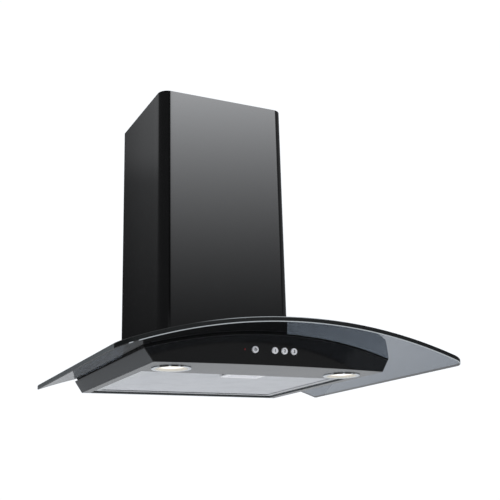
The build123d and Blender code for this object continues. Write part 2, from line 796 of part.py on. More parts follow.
def motor_box_parts():
    """Motor box with its flange and screws, and the clamps that hold the glass to it."""
    span = (motor_box_rear, box_front)
    box = block((-box_half, box_half), span, (0, motor_box_top))
    inner_span = (span[0] + sheet, span[1] - sheet)
    inner_half = box_half - sheet
    box -= block((-inner_half, inner_half), inner_span, (-sheet, motor_box_top - sheet))
    rim = block((-inner_half - sheet / 2, inner_half + sheet / 2), span, (0, clear_above))
    flange_half = box_half - motor_box_flange
    flange_span = (span[0] + motor_box_flange, span[1] - motor_box_flange)
    rim -= block((-flange_half, flange_half), flange_span, (-sheet, clear_above + sheet))
    box += rim & arch_solid(plate_top + seat + sheet)
    box -= arch_solid(plate_top + seat)
    box -= upright(collar_bore, 0, duct_from_wall, (motor_box_top - 2 * sheet, motor_box_top + sheet))

    places = []
    for side in (-1, 1):
        for back in (motor_box_rear + box_screw_rear_room, box_front - box_screw_front_room):
            x = side * (box_half - motor_box_flange / 2)
            plane = on_arch(x, back, plate_top + seat + sheet)
            places.append(Plane(origin=plane.origin, x_dir=plane.x_dir, z_dir=-plane.z_dir))
    screws, holes = place_screws(places, sheet + seat + plate_thickness)
    for hole in holes:
        box -= hole

    clamps, pads, clamp_screws, clamp_holes = [], [], [], []
    clamp_span = (clamp_start, clamp_start + clamp_length)
    pad_top = glass_thickness + seat + clamp_pad
    foot = (box_half + fit_gap, box_half + clamp_reach)
    zone = block(foot, clamp_span, (0, clear_above))
    leaf = (zone & arch_solid(pad_top + seat + clamp_thickness)) - arch_solid(pad_top + seat)
    base = arch_height(box_half, pad_top + seat)
    leaf += block((foot[0], foot[0] + clamp_thickness), clamp_span, (base, base + clamp_height))
    pad_zone = block((notch_half + sheet, foot[1]), clamp_span, (0, clear_above))
    pad = (pad_zone & arch_solid(pad_top)) - arch_solid(glass_thickness + seat)
    for end in (clamp_screw_inset, clamp_length - clamp_screw_inset):
        origin = (foot[0] + clamp_thickness, -clamp_start - end, base + clamp_height * 0.6)
        plane = Plane(origin=origin, x_dir=(0, 1, 0), z_dir=(-1, 0, 0))
        shank = clamp_thickness + fit_gap + sheet
        clamp_screws.append(plane * screw(shank))
        clamp_holes.append(plane * screw_hole(shank))
    for hole in clamp_holes:
        leaf -= hole
        box -= hole
        box -= mirror(hole, Plane.YZ)
    clamps = [leaf, mirror(leaf, Plane.YZ)]
    pads = [pad, mirror(pad, Plane.YZ)]
    clamp_screws += [mirror(piece, Plane.YZ) for piece in clamp_screws]
    parts = {
        "motor_box": box,
        "motor_box_screws": Compound(screws),
        "glass_clamps": Compound(clamps),
        "glass_clamp_pads": Compound(pads),
        "glass_clamp_screws": Compound(clamp_screws),
    }
    return parts, holes


def electrical_parts():
    """Run capacitor with its clip, and the terminal box with its cover and cable gland."""
    wall = box_half - sheet - seat
    radius = capacitor_radius + seat + clip_thickness
    centre_x = wall - radius
    heights = (capacitor_height, capacitor_height + capacitor_length)
    capacitor = upright(capacitor_radius, centre_x, capacitor_from_wall, heights)
    middle = sum(heights) / 2
    clip_z = (middle - clip_height / 2, middle + clip_height / 2)
    clip = upright(radius, centre_x, capacitor_from_wall, clip_z)
    tab = (capacitor_from_wall - radius - clip_tab, capacitor_from_wall + radius + clip_tab)
    clip += block((wall - clip_thickness, wall), tab, clip_z)
    bore = upright(capacitor_radius + seat, centre_x, capacitor_from_wall, clip_z)
    clip -= bore

    half = terminal_width / 2
    back = box_front + fit_gap
    front = back + terminal_depth
    top = terminal_base + terminal_height
    case = block((-half, half), (back, front), (terminal_base, top))
    case -= block(
        (-half + terminal_wall, half - terminal_wall),
        (back + terminal_wall, front + sheet),
        (terminal_base + terminal_wall, top - terminal_wall),
    )
    cover = block((-half, half), (front + fit_gap, front + fit_gap + terminal_wall), (terminal_base, top))
    gland_x = half - 2 * gland_radius
    gland_at = (back + front) / 2
    case -= upright(gland_radius * 0.7 + fit_gap, gland_x, gland_at, (top - 2 * terminal_wall, top + sheet))
    gland = upright(gland_radius, gland_x, gland_at, (top + seat, top + gland_flange))
    neck = upright(gland_radius * 0.7, gland_x, gland_at, (top - terminal_wall, top + gland_length))
    gland += neck
    bore_span = (top - terminal_wall - sheet, top + gland_length + sheet)
    gland -= upright(gland_bore, gland_x, gland_at, bore_span)
    return {
        "run_capacitor": capacitor,
        "capacitor_clip": clip,
        "terminal_box": case,
        "terminal_cover": cover,
        "cable_gland": gland,
    }


def damper_parts():
    """Duct collar with its ledge, the damper pin and the two half-round flaps."""
    centre = Pos(0, -duct_from_wall, 0)
    ring = Circle(duct_radius) - Circle(collar_bore)
    collar = Pos(0, 0, collar_base) * extrude(ring, collar_height)
    flange = Circle(collar_flange_radius) - Circle(collar_bore)
    collar += Pos(0, 0, collar_base) * extrude(flange, collar_flange)
    ledge = Circle(duct_radius - collar_wall / 2) - Circle(collar_bore - ledge_width)
    ledge_top = damper_height - flap_thickness / 2 - button_gap
    collar += Pos(0, 0, ledge_top - collar_wall) * extrude(ledge, collar_wall)
    axle = Pos(0, 0, damper_height) * Rot(Y=90)
    bore = damper_pin_radius + damper_clearance
    collar -= axle * Cylinder(bore, 3 * duct_radius)
    groove = knuckle_radius + button_gap
    collar -= axle * Cylinder(groove, 2 * collar_bore)
    pin = axle * Cylinder(damper_pin_radius, 2 * duct_radius - collar_wall)

    flap_radius = collar_bore - flap_side_gap
    disc = Pos(0, 0, damper_height) * Cylinder(flap_radius, flap_thickness)
    parts = {"outlet_collar": collar, "damper_pin": pin}
    for name, side in (("front", -1), ("rear", 1)):
        reach = (flap_axis_gap + flap_radius) / 2
        zone = Pos(0, side * reach, damper_height) * Box(
            2 * flap_radius, flap_radius - flap_axis_gap, 2 * flap_thickness
        )
        flap = disc & zone
        for step in (-1, 1):
            x = step * knuckle_step + side * knuckle_step / 2
            web = Pos(x, side * flap_axis_gap / 2, damper_height)
            flap += web * Box(knuckle_length, flap_axis_gap + sheet, flap_thickness)
            flap += Pos(x, 0, 0) * axle * Cylinder(knuckle_radius, knuckle_length)
        flap -= axle * Cylinder(bore, 3 * duct_radius)
        parts[f"damper_flap_{name}"] = flap
    return {name: centre * part for name, part in parts.items()}


def build_all():
    """Every piece of the hood by its node's name."""
    parts = body_parts()
    fascia, fascia_holes = fascia_parts()
    for hole in fascia_holes:
        parts["body_shell"] -= hole
    parts.update(fascia)
    parts["glass_canopy"] = glass_canopy()
    for side, name in ((-1, "left"), (1, "right")):
        parts.update(lamp_parts(side, name))
    parts.update(filter_parts())
    parts.update(chimney_parts())
    boxed, box_holes = motor_box_parts()
    for hole in box_holes:
        parts["body_top_plate"] -= hole
    parts.update(boxed)
    parts.update(blower_parts())
    parts.update(electrical_parts())
    parts.update(damper_parts())
    return parts


os.makedirs("parts", exist_ok=True)
for part_name, solid in build_all().items():
    export_step(solid, f"parts/{part_name}.step")
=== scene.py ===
import json
import logging
import math
from contextlib import contextmanager
from dataclasses import dataclass, field
from enum import Enum
from typing import Any, Iterator, Sequence

import bmesh
import bpy
import numpy as np
from mathutils import Matrix


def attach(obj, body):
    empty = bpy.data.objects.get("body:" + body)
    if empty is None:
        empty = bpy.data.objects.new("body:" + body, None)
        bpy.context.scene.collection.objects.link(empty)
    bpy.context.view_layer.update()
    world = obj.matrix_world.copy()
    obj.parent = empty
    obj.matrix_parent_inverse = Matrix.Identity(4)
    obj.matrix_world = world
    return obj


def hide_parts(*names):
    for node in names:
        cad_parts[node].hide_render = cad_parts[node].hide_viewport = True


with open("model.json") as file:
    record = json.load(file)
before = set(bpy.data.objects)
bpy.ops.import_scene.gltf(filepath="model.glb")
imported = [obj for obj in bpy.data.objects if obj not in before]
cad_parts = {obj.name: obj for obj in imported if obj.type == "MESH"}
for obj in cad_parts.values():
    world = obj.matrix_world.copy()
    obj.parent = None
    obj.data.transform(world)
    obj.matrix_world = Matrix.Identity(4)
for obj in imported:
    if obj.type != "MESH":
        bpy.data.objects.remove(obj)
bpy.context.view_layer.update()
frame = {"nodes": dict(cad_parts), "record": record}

MM = 0.001
CAD_WELD = 0.004  # millimetres under which a CAD node's loose corners merge
CAD_FLAT = 0.4  # degrees within which its facets lie in one plane
SHARP = 30.0  # degrees past which an edge is sharp, unless a piece says otherwise
Colour = tuple[float, float, float]
report = logging.getLogger("range_hood")


# ------------------------------------------------------------------ shader graphs


class Signal:
    """A number that varies over a surface, on which Python's operators add Math nodes."""

    def __init__(self, graph: "Graph", socket: bpy.types.NodeSocket) -> None:
        """Wraps one output socket of a graph."""
        self.graph = graph
        self.socket = socket

    def _math(self, operation: str, first: Any, second: Any = None) -> "Signal":
        """Adds one Math node.

        Args:
            operation: The node's operation, such as "ADD".
            first: Number or signal of the first socket.
            second: Number or signal of the second socket, if it has one.

        Returns:
            The node's result.
        """
        values = {0: first} if second is None else {0: first, 1: second}
        node = self.graph.add("ShaderNodeMath", {"operation": operation}, values)
        return Signal(self.graph, node.outputs[0])

    def __add__(self, other: Any) -> "Signal":
        """This plus other."""
        return self._math("ADD", self, other)

    def __radd__(self, other: Any) -> "Signal":
        """Other plus this."""
        return self._math("ADD", other, self)

    def __sub__(self, other: Any) -> "Signal":
        """This less other."""
        return self._math("SUBTRACT", self, other)

    def __rsub__(self, other: Any) -> "Signal":
        """Other less this."""
        return self._math("SUBTRACT", other, self)

    def __mul__(self, other: Any) -> "Signal":
        """This times other."""
        return self._math("MULTIPLY", self, other)

    def __rmul__(self, other: Any) -> "Signal":
        """Other times this."""
        return self._math("MULTIPLY", other, self)

    def __truediv__(self, other: Any) -> "Signal":
        """This over other."""
        return self._math("DIVIDE", self, other)

    def __rtruediv__(self, other: Any) -> "Signal":
        """Other over this."""
        return self._math("DIVIDE", other, self)

    def __pow__(self, other: Any) -> "Signal":
        """This to the power of other."""
        return self._math("POWER", self, other)

    def sine(self) -> "Signal":
        """Sine of this, in radians."""
        return self._math("SINE", self)

    def size(self) -> "Signal":
        """This without its sign."""
        return self._math("ABSOLUTE", self)

    def at_least(self, other: Any) -> "Signal":
        """The larger of this and other."""
        return self._math("MAXIMUM", self, other)

    def at_most(self, other: Any) -> "Signal":
        """The smaller of this and other."""
        return self._math("MINIMUM", self, other)

    def share(self, low: float, high: float) -> "Signal":
        """Smooth step of this: 0 at low and 1 at high.

        Args:
            low: Where the step begins.
            high: Where it ends.

        Returns:
            The step.
        """
        settings = {"interpolation_type": "SMOOTHSTEP"}
        node = self.graph.add("ShaderNodeMapRange", settings, {0: self, 1: low, 2: high})
        return Signal(self.graph, node.outputs[0])


class Graph:
    """The nodes of one material or of the world."""

    def __init__(self, tree: bpy.types.NodeTree) -> None:
        """Starts from an empty tree."""
        self.tree = tree
        tree.nodes.clear()

    def add(self, kind: str, settings: dict[str, Any], inputs: dict[Any, Any]) -> bpy.types.Node:
        """Adds one node.

        Args:
            kind: The node's type.
            settings: Its own settings, set first.
            inputs: Value, signal or socket by the input's name or number.

        Returns:
            The new node.
        """
        node = self.tree.nodes.new(kind)
        for name, value in settings.items():
            setattr(node, name, value)
        for name, value in inputs.items():
            socket = node.inputs[name]
            if isinstance(value, Signal):
                self.tree.links.new(value.socket, socket)
            elif isinstance(value, bpy.types.NodeSocket):
                self.tree.links.new(value, socket)
            elif socket.type == "RGBA" and len(value) == 3:
                socket.default_value = (*value, 1.0)
            else:
                socket.default_value = value
        return node

    def place(self, stretch: Sequence[float] = (1.0, 1.0, 1.0)) -> bpy.types.NodeSocket:
        """Object coordinates in metres, stretched."""
        where = self.add("ShaderNodeTexCoord", {}, {}).outputs["Object"]
        return self.add("ShaderNodeMapping", {}, {"Vector": where, "Scale": stretch}).outputs[0]

    def axis(self, name: str) -> Signal:
        """One of the object coordinates, in metres."""
        where = self.add("ShaderNodeTexCoord", {}, {}).outputs["Object"]
        return Signal(self, self.add("ShaderNodeSeparateXYZ", {}, {0: where}).outputs[name])

    def noise(self, scale: float, detail: float = 2.0, stretch: Sequence[float] = (1.0, 1.0, 1.0)) -> Signal:
        """Soft noise from 0 to 1 with that many cells to the metre."""
        inputs = {"Vector": self.place(stretch), "Scale": scale, "Detail": detail, "Roughness": 0.55}
        return Signal(self, self.add("ShaderNodeTexNoise", {}, inputs).outputs[0])

    def crystals(self, scale: float) -> Signal:
        """A number for each Voronoi cell, with that many cells to the metre.

        Args:
            scale: Cells to the metre.

        Returns:
            The cells' numbers, from 0 to 1.
        """
        inputs = {"Vector": self.place(), "Scale": scale}
        tint = self.add("ShaderNodeTexVoronoi", {"feature": "F1"}, inputs).outputs["Color"]
        return Signal(self, self.add("ShaderNodeSeparateColor", {}, {0: tint}).outputs[0])

    def blend(self, share: Any, low: Any, high: Any) -> bpy.types.NodeSocket:
        """Colour between low and high."""
        node = self.add("ShaderNodeMix", {"data_type": "RGBA"}, {0: share, 6: low, 7: high})
        return node.outputs[2]

    def bump(self, height: Signal, depth: float) -> bpy.types.NodeSocket:
        """Normal of a relief whose height runs from 0 to 1 over a depth in metres."""
        return self.add("ShaderNodeBump", {}, {"Height": height, "Distance": depth}).outputs[0]

    def principled(self, inputs: dict[str, Any]) -> None:
        """Leads a Principled shader with these inputs to the material's output."""
        shader = self.add("ShaderNodeBsdfPrincipled", {}, inputs).outputs[0]
        self.add("ShaderNodeOutputMaterial", {}, {"Surface": shader})


# ------------------------------------------------------------------ finishes


def scaled(colour: Colour, share: float, lift: float = 0.0) -> Colour:
    """A colour times a share plus a lift, with no part above 1."""
    return tuple(min(1.0, part * share + lift) for part in colour)


@dataclass(frozen=True)
class Coating:
    """What every finish has: a name, and the inputs of the Principled shader that shows it."""

    name: str

    def inputs(self, graph: Graph) -> dict[str, Any]:
        """The shader's inputs, which each finish works out for itself."""
        raise NotImplementedError

    def material(self) -> bpy.types.Material:
        """Builds the material.

        Returns:
            The new material.
        """
        material = bpy.data.materials.new(self.name)
        material.use_nodes = True
        graph = Graph(material.node_tree)
        graph.principled(self.inputs(graph))
        return material


@dataclass(frozen=True)
class PaintedSteel(Coating):
    """Stoved paint on sheet steel: faint orange peel, thin dust and rubbed patches."""

    colour: Colour
    roughness: float
    peel_depth: float = 0.00002
    peel_scale: float = 420.0
    dust: float = 0.04
    dust_colour: Colour = (0.20, 0.20, 0.19)

    def inputs(self, graph: Graph) -> dict[str, Any]:
        """Dust lies in clouds and specks, and dulls the gloss where it lies.

        Args:
            graph: The material's nodes.

        Returns:
            The shader's inputs.
        """
        peel = graph.noise(self.peel_scale, 1.0)
        rubbed = graph.noise(9.0, 3.0, (1.0, 1.0, 0.6))
        specks = graph.noise(900.0, 0.0).share(0.70, 0.80)
        settled = (graph.noise(34.0, 4.0).share(0.50, 0.85) * 0.6 + specks * 0.4) * self.dust
        return {
            "Base Color": graph.blend(settled, self.colour, self.dust_colour),
            "Roughness": rubbed * 0.06 + (self.roughness - 0.03) + settled * 0.5,
            "Normal": graph.bump(peel, self.peel_depth),
        }


@dataclass(frozen=True)
class BrushedMetal(Coating):
    """Bare sheet metal with fine lines along one axis, some heavier scratches and stains."""

    colour: Colour
    roughness: float = 0.32
    lines: Sequence[float] = (6.0, 900.0, 900.0)
    stain: float = 0.15
    depth: float = 0.00001

    def inputs(self, graph: Graph) -> dict[str, Any]:
        """Lines are noise stretched along one axis, and stains are soft clouds.

        Args:
            graph: The material's nodes.

        Returns:
            The shader's inputs.
        """
        grain = graph.noise(1.0, 3.0, self.lines)
        heavy = graph.noise(0.35, 1.0, self.lines).share(0.62, 0.72)
        cloud = graph.noise(22.0, 4.0)
        stained = cloud.share(0.42, 0.75) * self.stain + heavy * 0.12
        return {
            "Base Color": graph.blend(stained, self.colour, scaled(self.colour, 0.62)),
            "Metallic": 1.0,
            "Roughness": grain * 0.16 + cloud * 0.10 + (self.roughness - 0.13),
            "Normal": graph.bump(grain + heavy, self.depth),
        }


@dataclass(frozen=True)
class ZincSheet(Coating):
    """Galvanised sheet with its spangle of flat crystals."""

    colour: Colour = (0.50, 0.52, 0.54)
    spangle: float = 90.0

    def inputs(self, graph: Graph) -> dict[str, Any]:
        """Each crystal has its own shade and gloss under a thin film.

        Args:
            graph: The material's nodes.

        Returns:
            The shader's inputs.
        """
        crystal = graph.crystals(self.spangle)
        film = graph.noise(40.0, 5.0)
        return {
            "Base Color": graph.blend(crystal * 0.8 + film * 0.2, self.colour, scaled(self.colour, 1.25)),
            "Metallic": 0.9,
            "Roughness": crystal * 0.22 + film * 0.12 + 0.28,
            "Normal": graph.bump(crystal + film * 0.5, 0.00002),
        }


@dataclass(frozen=True)
class PlatedMetal(Coating):
    """Polished plating with hairline scratches and a film of fingerprints."""

    colour: Colour
    roughness: float = 0.10
    metallic: float = 1.0

    def inputs(self, graph: Graph) -> dict[str, Any]:
        """Scratches run along x, and the film dulls the gloss.

        Args:
            graph: The material's nodes.

        Returns:
            The shader's inputs.
        """
        hair = graph.noise(1.0, 2.0, (40.0, 2600.0, 2600.0)).share(0.66, 0.74)
        film = graph.noise(120.0, 4.0)
        worn = hair * 0.25 + film.share(0.5, 0.8) * 0.12
        return {
            "Base Color": graph.blend(worn, self.colour, scaled(self.colour, 0.7)),
            "Metallic": self.metallic,
            "Roughness": film * 0.10 + hair * 0.15 + (self.roughness - 0.05),
            "Normal": graph.bump(film, 0.000004),
        }


@dataclass(frozen=True)
class MouldedPlastic(Coating):
    """Injection-moulded plastic with a spark-eroded grain and handling marks."""

    colour: Colour
    roughness: float = 0.5
    grain_depth: float = 0.00004
    grain_scale: float = 1400.0

    def inputs(self, graph: Graph) -> dict[str, Any]:
        """Flow marks and scuffs are paler, and the grain is a fine relief.

        Args:
            graph: The material's nodes.

        Returns:
            The shader's inputs.
        """
        grain = graph.noise(self.grain_scale, 2.0)
        flow = graph.noise(14.0, 3.0, (1.0, 1.0, 2.5))
        scuff = graph.noise(60.0, 5.0).share(0.60, 0.75)
        paler = flow.share(0.3, 0.7) * 0.5 + scuff * 0.3
        return {
            "Base Color": graph.blend(paler, self.colour, scaled(self.colour, 1.15, 0.02)),
            "Roughness": grain * 0.12 + scuff * 0.12 + (self.roughness - 0.08),
            "Normal": graph.bump(grain, self.grain_depth),
        }


@dataclass(frozen=True)
class SoftRubber(Coating):
    """Matt black rubber with talc left in its pores."""

    colour: Colour = (0.007, 0.007, 0.007)
    talc: Colour = (0.12, 0.12, 0.12)

    def inputs(self, graph: Graph) -> dict[str, Any]:
        """Talc lies in faint clouds, and the pores are a fine relief.

        Args:
            graph: The material's nodes.

        Returns:
            The shader's inputs.
        """
        pores = graph.noise(1100.0, 3.0)
        dusted = graph.noise(70.0, 4.0).share(0.55, 0.80) * 0.3
        return {
            "Base Color": graph.blend(dusted * 0.3, self.colour, self.talc),
            "Roughness": pores * 0.2 + 0.66,
            "Specular IOR Level": 0.06,
            "Normal": graph.bump(pores, 0.00005),
        }


class GlassArea(Enum):
    """The kinds of surface of the canopy's glass: its clear faces and its ground edges."""

    FACE = "face"
    GROUND = "ground"


@dataclass(frozen=True)
class SmokedGlass(Coating):
    """Toughened glass, tinted through, with ground edges and softly frosted arrises.

    The side edges carry a painted reflection in a paler tint. Along the front and rear an arris
    shows a painted highlight in its tint over a stretch and at one small spot, and is dark beyond them.
    """

    area: GlassArea
    tint: Colour
    # painted reflection: colour of the side edges
    side_reflection: Colour = (0.110, 0.120, 0.125)
    dark: Colour = (0.006, 0.006, 0.006)
    # painted highlight: span across, in metres, over which an arris shows its tint
    stretch: tuple[float, float] = (-1.0, 1.0)
    soft: float = 0.002
    # painted highlight: a second small span across, in metres, that shows the tint
    glint_speck: tuple[float, float] = (-0.283, -0.279)
    # distance from the middle, in metres, over which the side edges' painted reflection fades in
    side: tuple[float, float] = (0.29985, 0.29999)
    roughness: float = 0.32
    specular: float = 0.5

    def inputs(self, graph: Graph) -> dict[str, Any]:
        """The faces are clear and faintly smeared, and the ground edges are frosted, with painted highlights
        and a painted reflection.

        Args:
            graph: The material's nodes.

        Returns:
            The shader's inputs.
        """
        smear = graph.noise(26.0, 4.0, (1.0, 0.4, 1.0)).share(0.52, 0.80)
        if self.area is GlassArea.FACE:
            return {
                "Base Color": self.tint,
                "Roughness": smear * 0.012,
                "Transmission Weight": 1.0,
                "IOR": 1.5,
            }
        # painted highlight: the tint shows only over the two spans across, a little dimmed where smeared
        across = graph.axis("X")
        lit, glint_speck = (
            across.share(begin - self.soft, begin) * (1.0 - across.share(end, end + self.soft))
            for begin, end in (self.stretch, self.glint_speck)
        )
        along = graph.blend(lit.at_least(glint_speck) * (1.0 - smear * 0.25), self.dark, self.tint)
        ground = graph.noise(800.0, 2.0)
        # painted reflection: near the sides the edges take the paler side colour
        return {
            "Base Color": graph.blend(across.size().share(*self.side), along, self.side_reflection),
            "Roughness": ground * 0.15 + self.roughness,
            "Normal": graph.bump(ground, 0.00002),
            "Specular IOR Level": self.specular,
        }


@dataclass(frozen=True)
class LampFinish(Coating):
    """What the finishes of a lamp share: its centre, and the side that its rim shades."""

    centre: tuple[float, float]
    near_side: tuple[float, float] = (-0.44, -0.90)

    def places(self, graph: Graph) -> tuple[Signal, Signal, Signal]:
        """Distances in metres across the lamp, out from its centre and towards its near side.

        Args:
            graph: The material's nodes.

        Returns:
            The three distances.
        """
        across = graph.axis("X") - self.centre[0]
        along = graph.axis("Y") - self.centre[1]
        near = across * self.near_side[0] + along * self.near_side[1]
        return across, (across * across + along * along) ** 0.5, near


@dataclass(frozen=True)
class LampRing(LampFinish):
    """Plated lamp ring whose bore is not plated, so that the change falls at one radius."""

    bore: float = 0.0266
    colour: Colour = (0.66, 0.69, 0.72)
    inside: Colour = (0.80, 0.77, 0.70)
    # painted shade: colour of the dark arcs along the near side
    notch: Colour = (0.03, 0.025, 0.02)

    def inputs(self, graph: Graph) -> dict[str, Any]:
        """Painted shade, in dark arcs spaced by a sine, lies along the near side.

        Args:
            graph: The material's nodes.

        Returns:
            The shader's inputs.
        """
        across, out, near = self.places(graph)
        # painted shade: dark arcs along the near side, broken by a sine across
        painted_shade = near.share(0.022, 0.027) * (1.0 - (across * 420.0 + 0.9).sine().share(0.62, 0.92))
        plated = out.share(self.bore, self.bore + 0.0003) * (1.0 - painted_shade * 0.9)
        film = graph.noise(160.0, 4.0)
        return {
            "Base Color": graph.blend(painted_shade, graph.blend(plated, self.inside, self.colour), self.notch),
            "Metallic": plated * 0.8,
            "Roughness": film * 0.12 + 0.12,
            "Normal": graph.bump(film, 0.000004),
        }


@dataclass(frozen=True)
class LampGlass(LampFinish):
    """Lamp lens, frosted in rings and lit warmly from behind, brightest in the middle."""

    radius: float = 0.025
    pale: Colour = (0.86, 0.84, 0.78)
    shaded: Colour = (0.70, 0.68, 0.62)
    # dim glow at the rim, also the painted shade on the near side
    rim_glow: Colour = (0.10, 0.08, 0.06)
    glow: Colour = (1.0, 0.93, 0.82)
    strength: float = 1.1

    def inputs(self, graph: Graph) -> dict[str, Any]:
        """Rings follow the sine of the radius, and the glow fades outwards, and towards the near side as
        painted shade.

        Args:
            graph: The material's nodes.

        Returns:
            The shader's inputs.
        """
        _, reach, near = self.places(graph)
        out = reach / self.radius
        rings = (out * 70.0).sine() * 0.5 + 0.5
        grain = graph.noise(900.0, 2.0)
        # painted shade: the glow dims towards the near side, which the rim shades
        heat = (1.0 - out.share(0.15, 1.05)) * (1.0 - near.share(0.008, 0.022) * 0.9)
        return {
            "Base Color": graph.blend(rings * 0.3 + grain * 0.3, self.pale, self.shaded),
            "Roughness": grain * 0.2 + 0.25,
            "Normal": graph.bump(rings, 0.0002),
            "Emission Color": graph.blend(heat, self.rim_glow, self.glow),
            "Emission Strength": self.strength,
        }


@dataclass(frozen=True)
class Translucent(Coating):
    """Small tinted part that is clear or lit: an indicator lens or a bulb."""

    colour: Colour
    glow: float = 0.0
    roughness: float = 0.12

    def inputs(self, graph: Graph) -> dict[str, Any]:
        """A thin film dulls the tint, under a coat.

        Args:
            graph: The material's nodes.

        Returns:
            The shader's inputs.
        """
        film = graph.noise(600.0, 2.0)
        return {
            "Base Color": graph.blend(film * 0.4, self.colour, scaled(self.colour, 0.6)),
            "Roughness": film * 0.1 + self.roughness,
            "Emission Color": self.colour,
            "Emission Strength": self.glow,
            "Coat Weight": 0.6,
        }


@dataclass(frozen=True)
class FloorPaint(Coating):
    """Pale matt paint with faint clouds."""

    colour: Colour = (0.93, 0.93, 0.93)
    cloud: Colour = (0.88, 0.88, 0.88)

    def inputs(self, graph: Graph) -> dict[str, Any]:
        """Clouds are noise a metre and more across."""
        return {"Base Color": graph.blend(graph.noise(0.8, 3.0), self.colour, self.cloud), "Roughness": 0.7}


class Finish(Enum):
    """The finishes of the hood, by the material slot that each one serves."""

    BLACK_ENAMEL = PaintedSteel("black_enamel", (0.0030, 0.0030, 0.0032), 0.08, 0.00001, dust=0.012)
    BLACK_COATED = PaintedSteel("black_coated", (0.012, 0.012, 0.013), 0.28, 0.00004)
    GREY_COATED = PaintedSteel("grey_coated", (0.048, 0.053, 0.057), 0.38, 0.000012, dust=0.03)
    GREY_SATIN = PaintedSteel("grey_satin", (0.042, 0.047, 0.050), 0.26, 0.000012, dust=0.03)
    GALVANISED = ZincSheet("galvanised")
    STEEL = BrushedMetal("steel", (0.56, 0.56, 0.57))
    SCREW_STEEL = PlatedMetal("screw_steel", (0.62, 0.63, 0.64), 0.24)
    ALUMINIUM = BrushedMetal("aluminium", (0.65, 0.665, 0.68), 0.38, stain=0.10)
    ALUMINIUM_MESH = BrushedMetal("aluminium_mesh", (0.66, 0.67, 0.69), 0.42, (30.0, 500.0, 500.0))
    CHROME = PlatedMetal("chrome", (0.86, 0.87, 0.88), 0.09)
    BUTTON_SILVER = PlatedMetal("button_silver", (0.95, 0.95, 0.97), 0.30, 0.15)
    RUBBER = SoftRubber("rubber")
    GREY_PLASTIC = MouldedPlastic("grey_plastic", (0.24, 0.25, 0.26))
    BLACK_PLASTIC = MouldedPlastic("black_plastic", (0.022, 0.022, 0.023))
    WHITE_PLASTIC = MouldedPlastic("white_plastic", (0.72, 0.72, 0.69), 0.42)
    MOTOR_METAL = PaintedSteel("motor_metal", (0.05, 0.05, 0.055), 0.38, 0.0001, dust=0.2)
    RED_LENS = Translucent("red_lens", (0.16, 0.006, 0.008))
    BULB = Translucent("bulb", (1.0, 0.88, 0.66), 2.5, 0.3)
    DARK_PRINT = MouldedPlastic("dark_print", (0.02, 0.02, 0.022), 0.6)
    GLASS_FACE = SmokedGlass("smoked_glass", GlassArea.FACE, (0.130, 0.152, 0.180))
    # edge faces: dark, with the painted reflection at the sides
    GLASS_EDGE = SmokedGlass(
        "glass_edge", GlassArea.GROUND, (0.006, 0.007, 0.007), roughness=0.12, specular=0.25
    )
    # lower arris: painted highlight right of a point near the left, and at one small spot
    GLASS_ARRIS = SmokedGlass(
        "glass_arris", GlassArea.GROUND, (0.46, 0.485, 0.50), (0.17, 0.19, 0.20), stretch=(-0.2685, 1.0)
    )
    # top arris: painted highlight over a span about the middle, fading at both ends
    GLASS_TOP_ARRIS = SmokedGlass(
        "glass_top_arris", GlassArea.GROUND, (0.32, 0.34, 0.35), stretch=(-0.105, 0.0), soft=0.09,
        glint_speck=(-1.0, -1.0), specular=0.1,
    )


class Palette:
    """Builds each finish's material once, and dresses pieces and CAD nodes in them."""

    def __init__(self) -> None:
        """Starts with no materials built."""
        self.built: dict[str, bpy.types.Material] = {}

    def get(self, finish: Finish | Coating) -> bpy.types.Material:
        """The material of a finish, built on first use.

        Args:
            finish: One of the hood's finishes, or a coating.

        Returns:
            Its material.
        """
        chosen = finish.value if isinstance(finish, Finish) else finish
        if chosen.name not in self.built:
            self.built[chosen.name] = chosen.material()
        return self.built[chosen.name]

    def dress(self, obj: bpy.types.Object, *finishes: Finish | Coating) -> bpy.types.Object:
        """Gives an object's material slots these finishes, in order.

        Args:
            obj: The object.
            finishes: A finish or coating for each slot.

        Returns:
            The object.
        """
        if obj.data.materials:
            obj.data.materials.clear()
        for finish in finishes:
            obj.data.materials.append(self.get(finish))
        return obj

    def dress_node(self, node: str, finish: Finish) -> None:
        """Gives a CAD node's slots one finish and leaves its mesh as it is.

        Args:
            node: The node's name.
            finish: The finish of all its slots.
        """
        obj = frame["nodes"][node]
        if not obj.material_slots:
            obj.data.materials.append(self.get(finish))
        for slot in obj.material_slots:
            slot.material = self.get(finish)


# ------------------------------------------------------------------ surfaces


def grid_faces(rows: int, columns: int, wrap: bool = False) -> np.ndarray:
    """Quads of a grid of points.

    Args:
        rows: Points along the first direction.
        columns: Points along the second direction.
        wrap: Whether the last column joins the first.

    Returns:
        Array of corner numbers, one quad a row.
    """
    row, column = np.meshgrid(np.arange(rows - 1), np.arange(columns - (not wrap)), indexing="ij")
    here, after = row * columns + column, row * columns + (column + 1) % columns
    return np.stack([here, after, after + columns, here + columns], axis=-1).reshape(-1, 4)


@dataclass
class Surface:
    """Points in millimetres and the faces between them, by material number."""

    points: np.ndarray = field(default_factory=lambda: np.zeros((0, 3)))
    faces: list[tuple[int, ...]] = field(default_factory=list)
    slots: list[int] = field(default_factory=list)

    def join(self, points: np.ndarray, faces: np.ndarray, slot: int = 0) -> "Surface":
        """Adds a patch.

        Args:
            points: Array of places, with any leading shape and x, y, z last.
            faces: Rows of corner numbers into those points.
            slot: Material number of the patch.

        Returns:
            This surface.
        """
        start = len(self.points)
        self.points = np.concatenate([self.points, points.reshape(-1, 3)])
        self.faces += [tuple(row) for row in (faces + start).tolist()]
        self.slots += [slot] * len(faces)
        return self

    def sheet(self, points: Any, wrap: bool = False, slot: int = 0) -> "Surface":
        """Adds a grid of rows of points, whose last column joins the first if it wraps."""
        grid = np.asarray(points)
        return self.join(grid, grid_faces(*grid.shape[:2], wrap), slot)


